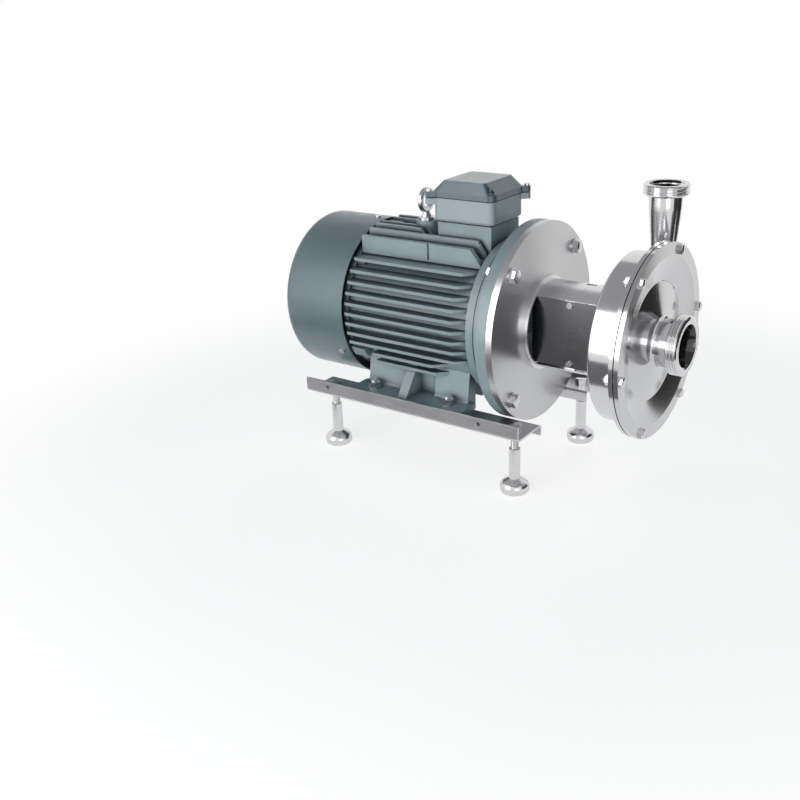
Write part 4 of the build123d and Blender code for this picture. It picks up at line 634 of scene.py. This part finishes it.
def add_floor():
    """Pale floor that takes the object's soft shadow, and is plain white further off."""
    maker = bmesh.new()
    bmesh.ops.create_circle(maker, cap_ends=True, radius=FLOOR_REACH, segments=96)
    floor = new_object("floor", maker)
    floor.location = (FLOOR_MIDDLE_X, 0, floor_z - FLOOR_GAP)
    material = bpy.data.materials.new("floor_white")
    nodes = bare_nodes(material)
    distance = nodes.vector_math("LENGTH", nodes.place())
    away = nodes.spread(distance, 0, 1, *FLOOR_FADE, interpolation_type="SMOOTHSTEP")
    seen = seen_by_eye_or_metal(nodes)
    matt = nodes.add("ShaderNodeBsdfDiffuse", {"Color": (FLOOR_GREY, FLOOR_GREY, FLOOR_GREY, 1)})
    glow = nodes.add("ShaderNodeEmission", {"Strength": nodes.math("MULTIPLY", seen, FLOOR_LIFT)})
    near_by = nodes.add("ShaderNodeAddShader", {0: matt.outputs[0], 1: glow.outputs[0]})
    white = nodes.add("ShaderNodeEmission", {"Strength": seen})
    mixed = nodes.add("ShaderNodeMixShader", {0: away, 1: near_by.outputs[0], 2: white.outputs[0]})
    nodes.add("ShaderNodeOutputMaterial", {"Surface": mixed.outputs[0]})
    floor.data.materials.append(material)


def add_softbox(name, place, target, width, height, strength, in_metal=True, on_paint=True):
    """Rectangular soft light that faces a target. It can be left out of reflections, or give nothing else."""
    light = bpy.data.lights.new(name, "AREA")
    light.shape = "RECTANGLE"
    light.size = width
    light.size_y = height
    light.energy = strength
    lamp = bpy.data.objects.new(name, light)
    lamp.visible_glossy = in_metal
    lamp.visible_diffuse = on_paint
    lamp.location = place
    lamp.rotation_euler = (Vector(target) - Vector(place)).to_track_quat("-Z", "Y").to_euler()
    bpy.context.scene.collection.objects.link(lamp)


def add_flag(name, place, target, width, height, shade):
    """Dark studio card that faces a target, and that only reflections show."""
    maker = bmesh.new()
    bmesh.ops.create_grid(maker, x_segments=1, y_segments=1, size=0.5)
    flag = new_object(name, maker)
    flag.scale = (width, height, 1)
    flag.location = place
    flag.rotation_euler = (Vector(target) - Vector(place)).to_track_quat("Z", "Y").to_euler()
    material = bpy.data.materials.new(name + "_cloth")
    nodes = bare_nodes(material)
    cloth = nodes.add("ShaderNodeEmission", {"Color": (shade, shade, shade * 1.04, 1)})
    nodes.add("ShaderNodeOutputMaterial", {"Surface": cloth.outputs[0]})
    flag.data.materials.append(material)
    flag.visible_camera = False
    flag.visible_diffuse = False
    flag.visible_shadow = False
    flag.visible_transmission = False


def light_world(ambient, backdrop):
    """White to the camera, to metal and to glass, and a lower, cooler even light on everything else."""
    world = bpy.data.worlds.new("studio")
    bpy.context.scene.world = world
    nodes = bare_nodes(world)
    even = nodes.add("ShaderNodeBackground", {"Color": (ambient * 0.75, ambient, ambient * 1.2, 1)})
    white = nodes.add("ShaderNodeBackground", {"Color": (backdrop, backdrop, backdrop, 1)})
    seen = seen_by_eye_or_metal(nodes)
    mixed = nodes.add("ShaderNodeMixShader", {0: seen, 1: even.outputs[0], 2: white.outputs[0]})
    nodes.add("ShaderNodeOutputWorld", {"Surface": mixed.outputs[0]})


def add_camera():
    """Camera at the photograph's place, direction and tilt."""
    data = bpy.data.cameras.new("camera")
    data.lens = CAMERA_LENS
    data.sensor_width = 36
    data.clip_start = 0.01
    camera = bpy.data.objects.new("camera", data)
    bpy.context.scene.collection.objects.link(camera)
    back = -CAMERA_LOOKS.normalized()
    right = CAMERA_UP.cross(back).normalized()
    up = back.cross(right)
    turn = Matrix((right, up, back)).transposed().to_4x4()
    camera.matrix_world = Matrix.Translation(CAMERA_PLACE) @ turn
    bpy.context.scene.camera = camera


finish_cad_nodes()
add_fasteners()
add_suction_ring()
add_discharge_ring()
add_floor()
light_world(ambient=0.08, backdrop=1.0)

# Each lamp has its place, what it faces, its width, its height and its strength
add_softbox("key_light", (-0.45, -1.90, 0.00), (-0.30, 0, 0.0), 1.2, 1.0, 24, in_metal=False)
add_softbox("key_reflection", (-1.18, -1.96, 0.66), (-0.25, 0, 0.05), 1.2, 2.1, 28, on_paint=False)
add_softbox("fill_light", (1.15, -1.45, 0.15), (-0.25, 0, 0.0), 0.9, 0.8, 7)
add_softbox("top_light", (-0.5, -0.2, 2.0), (-0.3, 0, 0), 1.8, 1.2, 5, in_metal=False)
add_softbox("back_light", (-0.9, 2.0, 0.8), (-0.3, 0, 0), 1.2, 1.0, 10, in_metal=False)

# Each card has its place, what it faces, its width, its height and its shade. They give the polished
# steel the dark bands that the photograph has.
add_flag("flag_above", (-0.3, -0.1, 1.7), (-0.3, -0.1, 0.0), 3.6, 3.0, 0.40)
add_flag("flag_right", (0.90, 0.34, 0.18), (0.0, 0.0, 0.18), 1.1, 0.84, 0.05)
add_flag("flag_right_back", (0.474, 0.613, -0.017), (-0.04, 0.0, -0.017), 0.44, 0.43, 0.03)
add_flag("flag_floor_right", (0.63, 0.06, -0.2), (0.63, 0.06, 1.0), 0.55, 0.5, 0.05)
add_flag("flag_floor_left", (-0.35, -0.50, -0.225), (-0.35, -0.50, 1.0), 1.1, 0.5, 0.18)
add_camera()
bpy.context.scene.view_settings.view_transform = "Standard"
